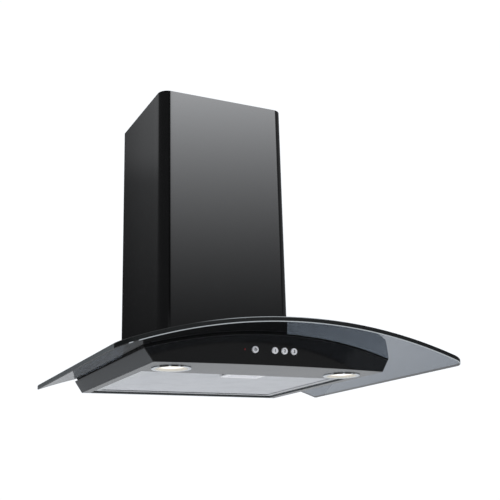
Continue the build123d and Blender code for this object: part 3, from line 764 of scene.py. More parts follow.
@contextmanager
def edited(mesh: bpy.types.Mesh) -> Iterator[bmesh.types.BMesh]:
    """Opens a mesh for editing, and writes it back at the end.

    Args:
        mesh: The mesh.

    Returns:
        The open mesh, for the length of a with block.
    """
    work = bmesh.new()
    work.from_mesh(mesh)
    yield work
    work.to_mesh(mesh)
    work.free()


def add_object(name: str, data: Any) -> bpy.types.Object:
    """Adds an object to the scene, at the origin.

    Args:
        name: The object's name.
        data: Its mesh or camera.

    Returns:
        The new object.
    """
    obj = bpy.data.objects.new(name, data)
    bpy.context.scene.collection.objects.link(obj)
    return obj


def add_smooth(name: str, mesh: bpy.types.Mesh, sharp: float) -> bpy.types.Object:
    """Adds a mesh that is smooth but for the edges past an angle in degrees.

    Args:
        name: The object's name.
        mesh: Its mesh.
        sharp: Angle in degrees past which an edge is sharp.

    Returns:
        The new object.
    """
    mesh.shade_smooth()
    mesh.set_sharp_from_angle(angle=math.radians(sharp))
    return add_object(name, mesh)


def new_mesh(name: str, surface: Surface) -> bpy.types.Mesh:
    """A mesh of a surface, in metres.

    Args:
        name: The mesh's name.
        surface: Its points and faces.

    Returns:
        The mesh.
    """
    mesh = bpy.data.meshes.new(name)
    mesh.from_pydata((surface.points * MM).tolist(), [], surface.faces)
    mesh.polygons.foreach_set("material_index", np.array(surface.slots, dtype=np.int32))
    return mesh


def make_piece(name: str, surface: Surface, sharp: float = SHARP, weld: float = 0.002) -> bpy.types.Object:
    """Makes an object of a surface, with its doubles merged and its faces turned outwards.

    Args:
        name: The piece's name.
        surface: Its points and faces.
        sharp: Angle in degrees past which an edge shows as sharp.
        weld: Distance in millimetres under which points merge.

    Returns:
        The new object, at the origin.
    """
    mesh = new_mesh(name, surface)
    with edited(mesh) as work:
        bmesh.ops.remove_doubles(work, verts=work.verts, dist=weld * MM)
        bmesh.ops.recalc_face_normals(work, faces=work.faces)
    return add_smooth(name, mesh, sharp)


def soften(obj: bpy.types.Object, name: str, width: float, segments: int, angle: float) -> None:
    """Rounds an object's sharp edges.

    Args:
        obj: The object.
        name: The modifier's name.
        width: Width of the rounding in millimetres.
        segments: Its steps.
        angle: Angle in degrees past which an edge is rounded.
    """
    bevel = obj.modifiers.new(name, "BEVEL")
    bevel.width = width * MM
    bevel.segments = segments
    bevel.limit_method = "ANGLE"
    bevel.angle_limit = math.radians(angle)
    bevel.harden_normals = True


def finished_copy(node: str, edge: float) -> bpy.types.Object:
    """Copies a CAD node, merges its loose triangles and softens its edges.

    Args:
        node: The node's name.
        edge: Width in millimetres of the softened edges.

    Returns:
        The copy, which stands for the node.
    """
    mesh = frame["nodes"][node].data.copy()
    mesh.name = f"{node}_finished"
    with edited(mesh) as work:
        bmesh.ops.remove_doubles(work, verts=work.verts, dist=CAD_WELD * MM)
        bmesh.ops.dissolve_limit(
            work, angle_limit=math.radians(CAD_FLAT), verts=work.verts, edges=work.edges,
            use_dissolve_boundaries=False,
        )
    obj = add_smooth(f"{node}_finished", mesh, SHARP)
    soften(obj, "softened_edges", edge, 2, SHARP)
    return obj


def settle(obj: bpy.types.Object, body: str, node: str = "") -> None:
    """Gives a piece its body, and hides the CAD node that it stands for, if any.

    Args:
        obj: The piece.
        body: The body that it rides on.
        node: The node that it replaces, or nothing.
    """
    if node:
        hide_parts(node)
    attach(obj, body)
    report.info("%s rides %s", obj.name, body)


def lathe(profile: np.ndarray, segments: int) -> np.ndarray:
    """Turns a profile about the z axis: x and y are the radius times cosine and sine of the turn.

    Args:
        profile: Rows of radius and height.
        segments: Steps of a full turn.

    Returns:
        Grid of points, a row for each row of the profile.
    """
    turn = np.linspace(0.0, 2.0 * np.pi, segments, endpoint=False)
    radius, height = profile[:, 0][:, None], profile[:, 1][:, None]
    return np.stack([radius * np.cos(turn), radius * np.sin(turn), height * np.ones_like(turn)], axis=-1)


# ------------------------------------------------------------------ the hood's shared form


@dataclass(frozen=True)
class HoodForm:
    """The sizes that several pieces share, in millimetres, and the surfaces they follow."""

    arch_centre: float = -830.0
    arch_radius: float = 883.0
    glass_thickness: float = 8.0
    body_half: float = 209.0
    body_front: float = 426.0
    fascia_radius: float = 1400.0
    shell_top: float = -3.85

    def arch(self, x: np.ndarray, offset: float = 0.0) -> np.ndarray:
        """Height of the arch: the centre's height plus the root of radius squared less x squared."""
        return self.arch_centre + np.sqrt((self.arch_radius + offset) ** 2 - x**2)

    def fascia(self, x: np.ndarray) -> np.ndarray:
        """Distance of the fascia from the wall: a circle about a centre far behind the hood."""
        return self.body_front - self.fascia_radius + np.sqrt(self.fascia_radius**2 - x**2)


@dataclass
class GlassCanopy:
    """The bent sheet of smoked glass with its rounded corners, notch and ground edges."""

    form: HoodForm
    half_width: float = 300.0
    front: float = 520.0
    rear: float = 20.0
    front_corner: float = 20.0
    rear_corner: float = 5.0
    notch_half: float = 120.0
    notch_front: float = 197.0
    notch_corner: float = 10.0
    arris: float = 1.2
    wing_columns: int = 21

    def plan(self, inset: float) -> tuple[np.ndarray, np.ndarray]:
        """Plan of the sheet as a grid of rows from the front to the rear.

        Each row runs over the left wing, the part in front of the notch and the right wing.
        In the corners the half width is the corner's centre plus its radius times the sine
        of an angle, and the distance from the wall goes with the cosine. Behind the notch
        line the middle columns stay on the notch's edge.

        Args:
            inset: How far the outline is drawn in.

        Returns:
            Arrays of x and of the distance from the wall.
        """
        bend = np.linspace(0.0, np.pi / 2, 13)
        radius = self.front_corner - inset
        corner_y = self.front - self.front_corner
        head_y = corner_y + radius * np.cos(bend)
        head_w = self.half_width - self.front_corner + radius * np.sin(bend)
        notch_line = self.notch_front - self.notch_corner
        middle_y = np.linspace(corner_y, notch_line, 22)[1:]
        tail_y = np.linspace(notch_line, self.rear + self.rear_corner, 12)[1:]
        small = self.rear_corner - inset
        end_y = self.rear + self.rear_corner - small * np.sin(bend[2::2])
        end_w = self.half_width - self.rear_corner + small * np.cos(bend[2::2])
        row_y = np.concatenate([head_y, middle_y, tail_y, end_y])
        full = self.half_width - inset
        row_w = np.concatenate([head_w, np.full(len(middle_y) + len(tail_y), full), end_w])

        inner = self.notch_half + inset
        turn = self.notch_corner + inset
        arc = np.linspace(0.0, np.pi / 2, 7)
        bay = self.notch_half - self.notch_corner
        half = np.concatenate([np.linspace(0.0, bay, 12)[:-1], bay + turn * np.sin(arc)])
        rear_edge = np.concatenate([np.full(11, self.notch_front + inset), notch_line + turn * np.cos(arc)])
        middle_x = np.concatenate([-half[::-1], half[1:]])
        middle_edge = np.concatenate([rear_edge[::-1], rear_edge[1:]])
        share = np.linspace(0.0, 1.0, self.wing_columns + 1)[1:]
        wing = inner + (row_w[:, None] - inner) * share
        x = np.concatenate([-wing[:, ::-1], np.tile(middle_x, (len(row_y), 1)), wing], axis=1)
        first, last = len(share), len(share) + len(middle_x)
        y = np.repeat(row_y[:, None], x.shape[1], axis=1)
        ahead = (row_y >= notch_line - 1e-9)[:, None]
        span = (row_y[0] - row_y)[:, None] / (row_y[0] - notch_line)
        y[:, first:last] = np.where(ahead, row_y[0] - span * (row_y[0] - middle_edge), middle_edge)
        return x, y

    def build(self, palette: Palette) -> None:
        """Builds the canopy: both faces on the arch, and a ground edge between two arrises.

        Args:
            palette: The materials of the finishes.
        """
        face = self.plan(self.arris)
        edge = self.plan(0.0)
        rows, columns = face[0].shape
        notch_line = self.notch_front - self.notch_corner
        row_y = edge[1][:, 0]
        first, last = self.wing_columns, columns - 1 - self.wing_columns
        row = np.repeat(np.arange(rows - 1), columns - 1)
        column = np.tile(np.arange(columns - 1), rows - 1)
        gone = (row_y[row] <= notch_line + 1e-6) & (column >= first) & (column < last)
        thick = self.form.glass_thickness
        surface = Surface()
        for offset in (thick, 0.0):
            points = np.stack([face[0], -face[1], self.form.arch(face[0], offset)], axis=-1)
            surface.join(points, grid_faces(rows, columns)[~gone])
        loop = self.rim(rows, columns, int(np.argmin(np.abs(row_y - notch_line))), first, last)
        levels = []
        for plan, offset, rise in (
            (face, 0.0, 0.0), (edge, 0.0, self.arris), (edge, thick, -self.arris), (face, thick, 0.0)
        ):
            x, y = (part.reshape(-1)[loop] for part in plan)
            levels.append(np.stack([x, -y, self.form.arch(x, offset) + rise], axis=-1))
        for number, slot in ((0, 2), (1, 1), (2, 3)):
            surface.sheet(levels[number : number + 2], True, slot)
        obj = make_piece("canopy_glass", surface, sharp=25.0)
        palette.dress(obj, Finish.GLASS_FACE, Finish.GLASS_EDGE, Finish.GLASS_ARRIS, Finish.GLASS_TOP_ARRIS)
        settle(obj, "hood", "glass_canopy")

    @staticmethod
    def rim(rows: int, columns: int, notch_row: int, first: int, last: int) -> np.ndarray:
        """Numbers of the grid points round the sheet's outline: straight legs from corner to corner.

        Args:
            rows: Rows of the grid.
            columns: Its columns.
            notch_row: Row on which the notch begins.
            first: Column of the notch's left side.
            last: Column of its right side.

        Returns:
            The point numbers in order.
        """
        end, side = rows - 1, columns - 1
        down = [0, 0, end, end, notch_row, notch_row, end, end, 0]
        across = [0, side, side, last, last, first, first, 0, 0]
        legs = []
        for leg in range(8):
            fall, run = down[leg + 1] - down[leg], across[leg + 1] - across[leg]
            step = np.sign(fall) * columns + np.sign(run)
            legs.append(down[leg] * columns + across[leg] + step * np.arange(abs(fall) + abs(run)))
        return np.concatenate(legs)


@dataclass
class ControlRow:
    """The row of round push buttons, their marks and the indicator, on evenly pitched places."""

    form: HoodForm
    height: float = 24.3
    pitch: float = 17.5
    first: float = -61.0
    lens_radius: float = 1.6
    lens_gap: float = 0.05
    lens_rise: float = 0.3
    hole_gap: float = 0.3
    radius: float = 5.4
    stand: float = 2.4
    collar: float = 6.0
    collar_depth: float = 1.4
    stem: float = 2.5
    stem_depth: float = 4.0
    fascia_depth: float = 3.0
    rolled: float = 0.7
    dish: float = 0.25
    print_lift: float = 0.08
    print_depth: float = 0.12
    letter_size: float = 7.8
    letter_bold: float = 0.22

    def onto(self, points: np.ndarray, x: float) -> np.ndarray:
        """Turns lathe points so that their height runs forwards from the fascia at x.

        Args:
            points: Places about an upright axis.
            x: Place across.

        Returns:
            The turned places.
        """
        face = float(self.form.fascia(np.array(x)))
        across, up, out = points[..., 0], points[..., 1], points[..., 2]
        return np.stack([x + across, -(face + out), self.height + up], axis=-1)

    def button(self, name: str, x: float) -> bpy.types.Object:
        """One button: a faintly dished cap with a rolled edge, a collar behind the fascia and a stem.

        The edge is a quarter circle, and the dish falls with the square of the radius.

        Args:
            name: The piece's name.
            x: Place of the button.

        Returns:
            The button.
        """
        roll = np.linspace(0.0, np.pi / 2, 7)
        share = np.linspace(1.0, 0.0, 9)[1:]
        back = -self.fascia_depth - self.hole_gap
        step = back - self.collar_depth
        end = step - self.stem_depth
        flat = self.radius - self.rolled
        stem = [[0.0, end], [self.stem, end], [self.stem, step], [self.collar, step], [self.collar, back]]
        fall = self.rolled * (1.0 - np.sin(roll))
        rim = np.stack([flat + self.rolled * np.cos(roll), self.stand - fall], axis=1)
        dish = np.stack([flat * share, self.stand - self.dish * (1.0 - share**2)], axis=1)
        points = lathe(np.concatenate([stem, [[self.radius, back]], rim, dish]), 72)
        return make_piece(name, Surface().sheet(self.onto(points, x), True), sharp=40.0)

    def mark(self, name: str, points: np.ndarray, faces: list[tuple[int, ...]], x: float) -> bpy.types.Object:
        """A printed mark: flat outlines laid a hair above the button's dish.

        Args:
            name: The piece's name.
            points: Rows of places across and up from the button's middle.
            faces: Corner numbers of its faces.
            x: Place of the button.

        Returns:
            The mark.
        """
        out = np.full(len(points), self.stand - self.dish + self.print_lift)
        mesh = new_mesh(name, Surface(self.onto(np.column_stack([points, out]), x), faces, [0] * len(faces)))
        with edited(mesh) as work:
            bmesh.ops.solidify(work, geom=work.faces, thickness=self.print_depth * MM)
            bmesh.ops.recalc_face_normals(work, faces=work.faces)
        return add_object(name, mesh)

    def numeral(self, text: str, x: float) -> bpy.types.Object:
        """A numeral as flat faces, made from a letter outline before it is placed.

        Args:
            text: The numeral.
            x: Place of the button.

        Returns:
            The mark.
        """
        curve = bpy.data.curves.new(f"numeral_{text}", "FONT")
        curve.body = text
        curve.size = self.letter_size
        curve.offset = self.letter_bold
        curve.align_x = curve.align_y = "CENTER"
        curve.resolution_u = 4
        holder = bpy.data.objects.new(f"outline_{text}", curve)
        mesh = bpy.data.meshes.new_from_object(holder)
        bpy.data.objects.remove(holder)
        flat = np.zeros(len(mesh.vertices) * 3)
        mesh.vertices.foreach_get("co", flat)
        points = flat.reshape(-1, 3)[:, :2]
        middle = (points.max(axis=0) + points.min(axis=0)) / 2
        faces = [tuple(polygon.vertices) for polygon in mesh.polygons]
        bpy.data.meshes.remove(mesh)
        return self.mark(f"numeral_{text}", points - middle, faces, x)

    def lamp_sign(self, x: float) -> bpy.types.Object:
        """A plain light symbol: a ring with eight short rays round it.

        Args:
            x: Place of the button.

        Returns:
            The mark.
        """
        turn = np.linspace(0.0, 2.0 * np.pi, 24, endpoint=False)
        ring = [np.stack([radius * np.cos(turn), radius * np.sin(turn)], axis=1) for radius in (0.9, 1.9)]
        rays = turn[::3]
        along = np.stack([np.cos(rays), np.sin(rays)], axis=1)[:, None]
        aside = np.stack([-np.sin(rays), np.cos(rays)], axis=1)[:, None]
        reach = np.array([2.3, 2.3, 3.6, 3.6])[None, :, None]
        width = np.array([-0.36, 0.36, 0.36, -0.36])[None, :, None]
        corners = (along * reach + aside * width).reshape(-1, 2)
        quads = [grid_faces(2, 24, wrap=True), np.arange(32).reshape(8, 4) + 48]
        faces = [tuple(row) for row in np.concatenate(quads).tolist()]
        return self.mark("light_sign", np.concatenate([*ring, corners]), faces, x)

    def build(self, palette: Palette) -> None:
        """Builds the buttons with their marks, and the indicator's domed lens.

        Args:
            palette: The materials of the finishes.
        """
        keys = (("light", 1, ""), ("speed_1", 3, "1"), ("speed_2", 4, "2"), ("speed_3", 5, "3"))
        for name, step, text in keys:
            x = self.first + step * self.pitch
            node, body = f"button_{name}", f"{name}_button"
            cap = palette.dress(self.button(f"{node}_cap", x), Finish.BUTTON_SILVER)
            settle(cap, body, node)
            sign = self.numeral(text, x) if text else self.lamp_sign(x)
            settle(palette.dress(sign, Finish.DARK_PRINT), body)
        bend = np.linspace(0.0, np.pi / 2, 8)
        dome = np.stack([self.lens_radius * np.cos(bend), self.lens_rise * np.sin(bend)], axis=1)
        back = [[0.0, -self.fascia_depth], [self.lens_radius, -self.fascia_depth]]
        points = self.onto(lathe(np.concatenate([back, dome]), 32), self.first)
        lens = make_piece("indicator_dome", Surface().sheet(points, True), sharp=50.0)
        settle(palette.dress(lens, Finish.RED_LENS), "hood", "indicator_lens")


@dataclass
class FrontFascia:
    """The curved gloss panel across the front, pierced for the controls."""

    form: HoodForm
    controls: ControlRow
    thickness: float = 3.0
    corner_x: float = 222.66
    rolled: float = 0.35
    steps: int = 8
    cells: int = 6
    low_rows: int = 5
    high_rows: int = 6
    side_columns: int = 18

    def grid(self) -> tuple[np.ndarray, np.ndarray]:
        """Places across and heights of the panel's grid.

        Over the controls the grid is square cells as wide as the pitch. Outside them each column
        is a straight line from the bottom edge to the arch, and the last one is the leaning side.

        Returns:
            Arrays of x and of height.
        """
        c = self.controls
        start, end = c.first - c.pitch / 2, c.first + (self.cells - 0.5) * c.pitch
        band = (c.height - c.pitch / 2, c.height + c.pitch / 2)
        x_mid = np.linspace(start, end, self.cells * self.steps + 1)
        low = np.linspace(0.0, band[0], self.low_rows + 1)[:-1]
        mid = np.linspace(band[0], band[1], self.steps + 1)
        rise = np.linspace(0.0, 1.0, self.high_rows + 1)[1:]
        top_mid = self.form.arch(x_mid, self.form.shell_top)
        z_mid = np.concatenate([
            np.repeat(np.concatenate([low, mid])[:, None], len(x_mid), axis=1),
            band[1] + (top_mid - band[1]) * rise[:, None],
        ])
        x_grid, z_grid = [np.repeat(x_mid[None], len(z_mid), axis=0)], [z_mid]
        share = np.linspace(0.0, 1.0, self.side_columns + 1)[1:]
        for edge, column, sign in ((start, 0, -1.0), (end, -1, 1.0)):
            height = (z_mid[:, column] / z_mid[-1, column])[:, None]
            top_x = edge + (sign * self.corner_x - edge) * share
            low_x = edge + (sign * self.form.body_half - edge) * share
            x_side = low_x + (top_x - low_x) * height
            z_side = self.form.arch(top_x, self.form.shell_top) * height
            if sign < 0:
                x_grid.insert(0, x_side[:, ::-1])
                z_grid.insert(0, z_side[:, ::-1])
            else:
                x_grid.append(x_side)
                z_grid.append(z_side)
        return np.concatenate(x_grid, axis=1), np.concatenate(z_grid, axis=1)

    def skin(self, x: np.ndarray, z: np.ndarray) -> list[np.ndarray]:
        """The places on the panel's front and on its back, for places across and heights."""
        return [np.stack([x, depth - self.form.fascia(x), z], axis=-1) for depth in (0.0, self.thickness)]

    def build(self, palette: Palette) -> None:
        """Builds the panel: front and back faces, its edges and a sleeve in each hole.

        Args:
            palette: The materials of the finishes.
        """
        x, z = self.grid()
        rows, columns = x.shape
        c = self.controls
        hole = c.radius + c.hole_gap
        holes = {0: c.lens_radius + c.lens_gap, 1: hole, 3: hole, 4: hole, 5: hole}
        row = np.repeat(np.arange(rows - 1), columns - 1) - self.low_rows
        column = np.tile(np.arange(columns - 1), rows - 1) - self.side_columns
        level = (row >= 0) & (row < self.steps)
        keep = ~(level & np.isin(column // self.steps, list(holes)))
        surface = Surface()
        for points in self.skin(x, z):
            surface.join(points, grid_faces(rows, columns)[keep])
        edge = (
            np.concatenate([part[0, :-1], part[:-1, -1], part[-1, :0:-1], part[:0:-1, 0]]) for part in (x, z)
        )
        surface.sheet(self.skin(*edge), True)
        for cell, radius in holes.items():
            self.hole(surface, c.first + cell * c.pitch, radius)
        obj = make_piece("fascia_panel", surface, sharp=35.0)
        soften(obj, "rolled_edges", self.rolled, 3, 40.0)
        settle(palette.dress(obj, Finish.BLACK_ENAMEL), "hood", "front_fascia")

    def hole(self, surface: Surface, x: float, radius: float) -> None:
        """Fills a square cell round a hole: rings that pass evenly from the square to the circle.

        Args:
            surface: The panel, which takes the new faces.
            x: Place of the hole.
            radius: Its radius.
        """
        half = self.controls.pitch / 2
        walk = np.linspace(-half, half, self.steps + 1)[:-1]
        side = np.full(self.steps, half)
        across, up = np.concatenate([walk, side, -walk, -side]), np.concatenate([-side, walk, side, -walk])
        square = np.stack([across, up], axis=1)
        turn = np.arctan2(square[:, 1], square[:, 0])
        circle = radius * np.stack([np.cos(turn), np.sin(turn)], axis=1)
        share = np.array([0.0, 0.45, 0.8, 1.0])[:, None, None]
        rings = square + (circle - square) * share
        faces = self.skin(x + rings[..., 0], self.controls.height + rings[..., 1])
        for points in faces:
            surface.sheet(points, True)
        surface.sheet([points[-1] for points in faces], True)


@dataclass
class BodyHousing:
    """The painted shell under the glass and its bottom panel."""

    edge: float = 0.3

    def build(self, palette: Palette) -> None:
        """Dresses the shell and the bottom panel, with their bent edges softened."""
        for node, finish in (("body_shell", Finish.GREY_COATED), ("bottom_panel", Finish.GREY_SATIN)):
            settle(palette.dress(finished_copy(node, self.edge), finish), "hood", node)


@dataclass
class DownLight:
    """One round lamp: plated bezel and ribbed lens."""

    side: float
    name: str
    inset: float = 159.5
    front: float = 355.0
    lens_radius: float = 25.0
    lens_low: float = 1.55
    lens_thickness: float = 2.0
    rib_pitch: float = 2.6
    rib_height: float = 0.35
    ring_lip: float = 1.6
    ring_edge: float = 0.2

    def build(self, palette: Palette) -> None:
        """Builds the lens as a turned disc whose underside rises and falls in rings.

        Args:
            palette: The materials of the finishes.
        """
        x, y = self.side * self.inset, -self.front
        centre = (x * MM, y * MM)
        out = np.linspace(0.0, self.lens_radius, 73)
        under = self.lens_low + self.rib_height * (0.5 - 0.5 * np.cos(2.0 * np.pi * out / self.rib_pitch))
        top = np.full(len(out), self.lens_low + self.lens_thickness)
        profile = np.concatenate([np.stack([out, under], axis=1), np.stack([out, top], axis=1)[::-1]])
        points = lathe(profile, 72) + np.array([x, y, 0.0])
        lens = make_piece(f"lens_{self.name}", Surface().sheet(points, True), sharp=60.0)
        palette.dress(lens, LampGlass(f"lens_glass_{self.name}", centre, radius=self.lens_radius * MM))
        settle(lens, "hood", f"lamp_lens_{self.name}")
        bezel = finished_copy(f"lamp_bezel_{self.name}", self.ring_edge)
        bore = (self.lens_radius + self.ring_lip) * MM
        palette.dress(bezel, LampRing(f"lamp_ring_{self.name}", centre, bore=bore))
        settle(bezel, "hood", f"lamp_bezel_{self.name}")


@dataclass
class GreaseFilter:
    """Cassette filter: extruded frame, sheets of expanded metal, handle cup and latch."""

    half: float = 193.0
    rear: float = 12.0
    front: float = 309.0
    low: float = 4.1
    high: float = 10.9
    wall: float = 1.7
    cup_half: float = 29.3
    cup_back: float = 273.7
    cup_gap: float = 0.3
    pitch: float = 8.0
    row: float = 3.6
    strand: float = 0.9
    strand_half_thick: float = 0.22
    strand_tilt: float = 0.6
    layer_inset: float = 0.7
    layer_middle: float = 2.2
    layer_shift: float = 2.0
    edge: float = 0.3

    def sheet(
        self, x_range: tuple[float, float], y_range: tuple[float, float], height: float, shift: float
    ) -> tuple[np.ndarray, np.ndarray]:
        """A sheet of expanded metal between two places across and two distances from the wall.

        Each strand is a ribbon that runs across in a triangle wave. Neighbouring strands are
        half a wave apart, so their peaks meet, and each ribbon tilts as slit metal does.

        Args:
            x_range: Ends across.
            y_range: Nearest and farthest distance from the wall.
            height: Height of the sheet's middle.
            shift: Shift of the wave along x.

        Returns:
            Points and quads of all the strands.
        """
        count = int((y_range[1] - y_range[0]) / self.row)
        row_y = y_range[0] + (np.arange(count) + 0.5) * (y_range[1] - y_range[0]) / count
        nodes = np.append(np.arange(x_range[0], x_range[1], self.pitch / 2), x_range[1])
        phase = (nodes - nodes[0] + shift) / self.pitch
        wave = 2.0 * np.abs(2.0 * (phase - np.floor(phase + 0.5))) - 1.0
        sign = np.where(np.arange(count) % 2 == 0, 1.0, -1.0)[:, None]
        reach = 0.5 * (self.row - self.strand * 0.4)
        y = np.clip(row_y[:, None] + sign * wave * reach, y_range[0] + self.strand, y_range[1] - self.strand)
        x = np.repeat(nodes[None], count, axis=0)
        across = self.strand / 2 * np.array([-1.0, 1.0, 1.0, -1.0])
        thick = self.strand_half_thick * np.array([-1.0, -1.0, 1.0, 1.0])
        up = height + self.strand_tilt * across / self.strand + thick
        points = np.stack(np.broadcast_arrays(x[..., None], -(y[..., None] + across), up), axis=-1)
        ends = np.array([[3, 2, 1, 0], np.arange(4) + (len(nodes) - 1) * 4])
        ribbon = np.concatenate([grid_faces(len(nodes), 4, wrap=True), ends])
        steps = (np.arange(count) * len(nodes) * 4)[:, None, None]
        return points, (ribbon[None] + steps).reshape(-1, 4)

    def build(self, palette: Palette) -> None:
        """Builds the layers of mesh, and dresses the frame, handle and latch.

        Args:
            palette: The materials of the finishes.
        """
        x_out, y_out = self.half - self.wall, self.front - self.wall
        areas = (
            ((-x_out, x_out), (self.rear + self.wall, self.cup_back - self.cup_gap)),
            ((-x_out, -self.cup_half), (self.cup_back, y_out)),
            ((self.cup_half, x_out), (self.cup_back, y_out)),
        )
        layers = (
            (self.low + self.layer_inset, 0.0),
            (self.low + self.layer_middle, self.layer_shift),
            (self.high - self.layer_inset, 0.0),
        )
        for number, (height, shift) in enumerate(layers):
            surface = Surface()
            for x_range, y_range in areas:
                surface.join(*self.sheet(x_range, y_range, height, shift))
            obj = make_piece(f"mesh_layer_{number + 1}", surface, sharp=20.0, weld=0.0001)
            palette.dress(obj, Finish.ALUMINIUM_MESH)
            settle(obj, "filter", "" if number else "filter_mesh")
        for node, body, finish in (
            ("filter_frame", "filter", Finish.ALUMINIUM),
            ("filter_handle", "filter", Finish.BUTTON_SILVER),
            ("filter_latch", "latch", Finish.BUTTON_SILVER),
        ):
            settle(palette.dress(finished_copy(node, self.edge), finish), body, node)


@dataclass
class ChimneyCover:
    """One telescopic cover: three walls with rolled front corners and short rear returns."""

    form: HoodForm
    name: str
    node: str
    body: str
    finish: Finish
    half: float
    front: float
    rear: float
    corner: float
    top: float
    low: float | None = None
    wall: float = 1.0
    returns: float = 121.0
    relief: float = 526.0
    seat: float = 0.3

    def outline(self, inset: float) -> np.ndarray:
        """Half of the plan from the return's end to the middle of the front.

        The corner is a quarter circle: centre plus radius times the cosine and sine of the turn.

        Args:
            inset: How far inside the outer face it lies.

        Returns:
            Rows of x, distance from the wall and the height of the cover's top there.
        """
        side, depth, back = self.half - inset, self.front - inset, self.rear + inset
        radius = self.corner - inset
        bend = np.linspace(0.0, np.pi / 2, 17)
        inner = self.half - self.wall
        head = [
            [self.returns, back, self.relief], [inner, back, self.relief],
            [inner, back, self.top], [side, back, self.top],
        ]
        wall_y = np.linspace(back, depth - radius, 10)[1:-1]
        face_x = np.linspace(side - radius, 0.0, 14)[1:]
        x = np.concatenate([np.full(8, side), side - radius + radius * np.cos(bend), face_x])
        y = np.concatenate([wall_y, depth - radius + radius * np.sin(bend), np.full(13, depth)])
        return np.concatenate([head, np.stack([x, y, np.full(len(x), self.top)], axis=1)])

    def build(self, palette: Palette) -> None:
        """Builds the cover as a closed sheet carried up from the arch, or from its own low end.

        Args:
            palette: The materials of the finishes.
        """
        share = np.linspace(0.0, 1.0, 9)[:, None]
        skins = []
        for inset in (0.0, self.wall):
            half = self.outline(inset)
            x, depth, top = np.concatenate([half, half[-2::-1] * np.array([-1.0, 1.0, 1.0])]).T
            seat = self.form.arch(x, self.form.glass_thickness + self.seat)
            low = seat if self.low is None else np.full(len(x), self.low)
            skins.append(np.stack(np.broadcast_arrays(x, -depth, low + (top - low) * share), axis=-1))
        surface = Surface().sheet(skins[0]).sheet(skins[1])
        for end in (0, -1):
            surface.sheet([skin[end] for skin in skins])
        for end in (0, -1):
            surface.sheet([skin[:, end] for skin in skins])
        obj = make_piece(self.name, surface, sharp=35.0)
        settle(palette.dress(obj, self.finish), self.body, self.node)


@dataclass(frozen=True)
class Sector:
    """A level direction, and the angles in degrees from it at which a light begins and is full."""

    east: float
    north: float
    outer: float
    inner: float


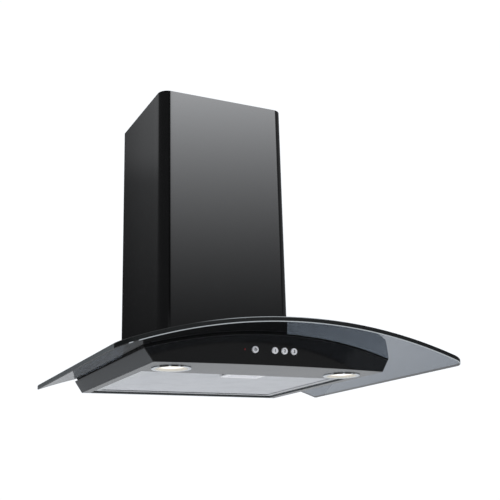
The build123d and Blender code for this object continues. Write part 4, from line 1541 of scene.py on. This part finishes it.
@dataclass
class Studio:
    """Camera, soft light and pale floor of the picture."""

    place: tuple[float, float, float] = (-652.08, -1651.99, -202.09)
    yaw: float = 26.223
    pitch: float = 15.979
    roll: float = -1.546
    focal_pixels: float = 862.82
    picture: float = 500.0
    sensor: float = 36.0
    floor_height: float = -1550.0
    floor_half: float = 3200.0
    key: Sector = Sector(0.500, -0.866, 24.0, 9.0)
    front: Sector = Sector(0.416, -0.909, 45.0, 30.0)
    side: Sector = Sector(-0.530, 0.848, 17.0, 11.3)
    back: Sector = Sector(0.36, 0.933, 34.0, 20.0)
    left: Sector = Sector(-0.940, -0.342, 72.0, 55.0)
    right: Sector = Sector(0.985, 0.174, 50.0, 35.0)
    light_colour: Colour = (0.97, 0.99, 1.02)
    backdrop: float = 1.05
    tent: float = 0.95

    def camera(self) -> None:
        """Stands the camera where the photograph was taken from."""
        yaw, pitch, roll = (math.radians(angle) for angle in (self.yaw, self.pitch, self.roll))
        level = math.cos(pitch)
        forward = np.array([math.sin(yaw) * level, math.cos(yaw) * level, math.sin(pitch)])
        right = np.array([math.cos(yaw), -math.sin(yaw), 0.0])
        up = np.cross(right, forward)
        side = math.cos(roll) * right + math.sin(roll) * up
        top = math.cos(roll) * up - math.sin(roll) * right
        data = bpy.data.cameras.new("camera")
        data.sensor_width = self.sensor
        data.lens = self.sensor * self.focal_pixels / self.picture
        data.clip_end = 60.0
        camera = add_object("camera", data)
        matrix = np.eye(4)
        matrix[:3, 0], matrix[:3, 1], matrix[:3, 2] = side, top, -forward
        matrix[:3, 3] = np.array(self.place) * MM
        camera.matrix_world = Matrix(matrix.tolist())
        bpy.context.scene.camera = camera

    def sky(self) -> None:
        """Soft light round the hood.

        The camera and the glass see plain white, and matt surfaces a white tent. Gloss sees a
        studio: a key box in front that brightens upwards, a dim card low in front, a narrower
        light on the left behind, dim cards at both sides, a pale backdrop low behind, light
        overhead and a dim floor.
        """
        world = bpy.data.worlds.new("studio")
        world.use_nodes = True
        bpy.context.scene.world = world
        graph = Graph(world.node_tree)
        where = graph.add("ShaderNodeTexCoord", {}, {}).outputs["Generated"]
        split = graph.add("ShaderNodeSeparateXYZ", {}, {0: where})
        east, north, high = (Signal(graph, socket) for socket in split.outputs)
        flat = (east * east + north * north).at_least(0.0001) ** 0.5

        def facing(sector: Sector) -> Signal:
            """Share of a sector: 0 outside its outer angle and 1 inside its inner one."""
            toward = (east * sector.east + north * sector.north) / flat
            return toward.share(math.cos(math.radians(sector.outer)), math.cos(math.radians(sector.inner)))

        over = high.at_least(0.0)
        key = (over**3.97 * 190.0).at_most(8.0) * (1.0 - high.share(0.5, 0.7)) * facing(self.key)
        front = (1.0 - high.share(0.19, 0.21)) * 0.26 * facing(self.front)
        side = (over**2.3 * 1.9 + high.share(0.345, 0.385) * 0.15) * facing(self.side)
        back = facing(self.back)
        light = key.at_least(front) + side + facing(self.left) * 0.11 + facing(self.right) * 0.25
        light = light + back * (1.0 - high.share(0.10, 0.16)) * 0.45 + high.share(0.72, 0.85) + 0.012
        below = 1.0 - high.share(-0.02, 0.02)
        light = light * (1.0 - below) + below * (back * 0.48 + 0.22)
        path = graph.add("ShaderNodeLightPath", {}, {}).outputs
        gloss, camera, through = (
            Signal(graph, path[f"Is {kind} Ray"]) for kind in ("Glossy", "Camera", "Transmission")
        )
        seen = camera.at_least(through)
        strength = (light * gloss + (1.0 - gloss) * self.tent) * (1.0 - seen) + seen * self.backdrop
        inputs = {"Color": self.light_colour, "Strength": strength}
        shader = graph.add("ShaderNodeBackground", {}, inputs).outputs[0]
        graph.add("ShaderNodeOutputWorld", {}, {"Surface": shader})

    def floor(self) -> None:
        """Pale floor, a flat sheet far below the hood."""
        share = np.linspace(-1.0, 1.0, 41) * self.floor_half
        points = np.stack([*np.meshgrid(share, share), np.full((41, 41), self.floor_height)], axis=-1)
        floor = make_piece("floor", Surface().sheet(points))
        floor.data.materials.append(FloorPaint("pale_floor").material())

    def build(self) -> None:
        """Sets up the whole studio."""
        bpy.context.scene.view_settings.view_transform = "Standard"
        self.camera()
        self.sky()
        self.floor()


def main() -> None:
    """Builds the hood's looks piece by piece, then the studio."""
    logging.basicConfig(level=logging.INFO, format="%(message)s")
    palette = Palette()
    form = HoodForm()
    by_name = {finish.value.name: finish for finish in Finish}
    for entry in frame["record"]["subparts"]:
        palette.dress_node(entry["node"], by_name.get(entry["material_slot"], Finish.STEEL))
    GlassCanopy(form).build(palette)
    report.info("glass canopy built")
    controls = ControlRow(form)
    FrontFascia(form, controls).build(palette)
    controls.build(palette)
    report.info("fascia and controls built")
    BodyHousing().build(palette)
    for side, name in ((-1.0, "left"), (1.0, "right")):
        DownLight(side, name).build(palette)
    report.info("body and lamps built")
    GreaseFilter().build(palette)
    report.info("filter built")
    ChimneyCover(
        form, "lower_cover", "chimney_lower", "hood", Finish.BLACK_ENAMEL, 131.0, 228.0, 0.0, 20.0, 556.0
    ).build(palette)
    ChimneyCover(
        form, "upper_cover", "chimney_upper", "upper_chimney", Finish.BLACK_COATED,
        127.0, 224.0, 1.5, 16.0, 554.0, 154.0, returns=117.0,
    ).build(palette)
    report.info("chimney covers built")
    Studio().build()


if __name__ == "__main__":
    main()
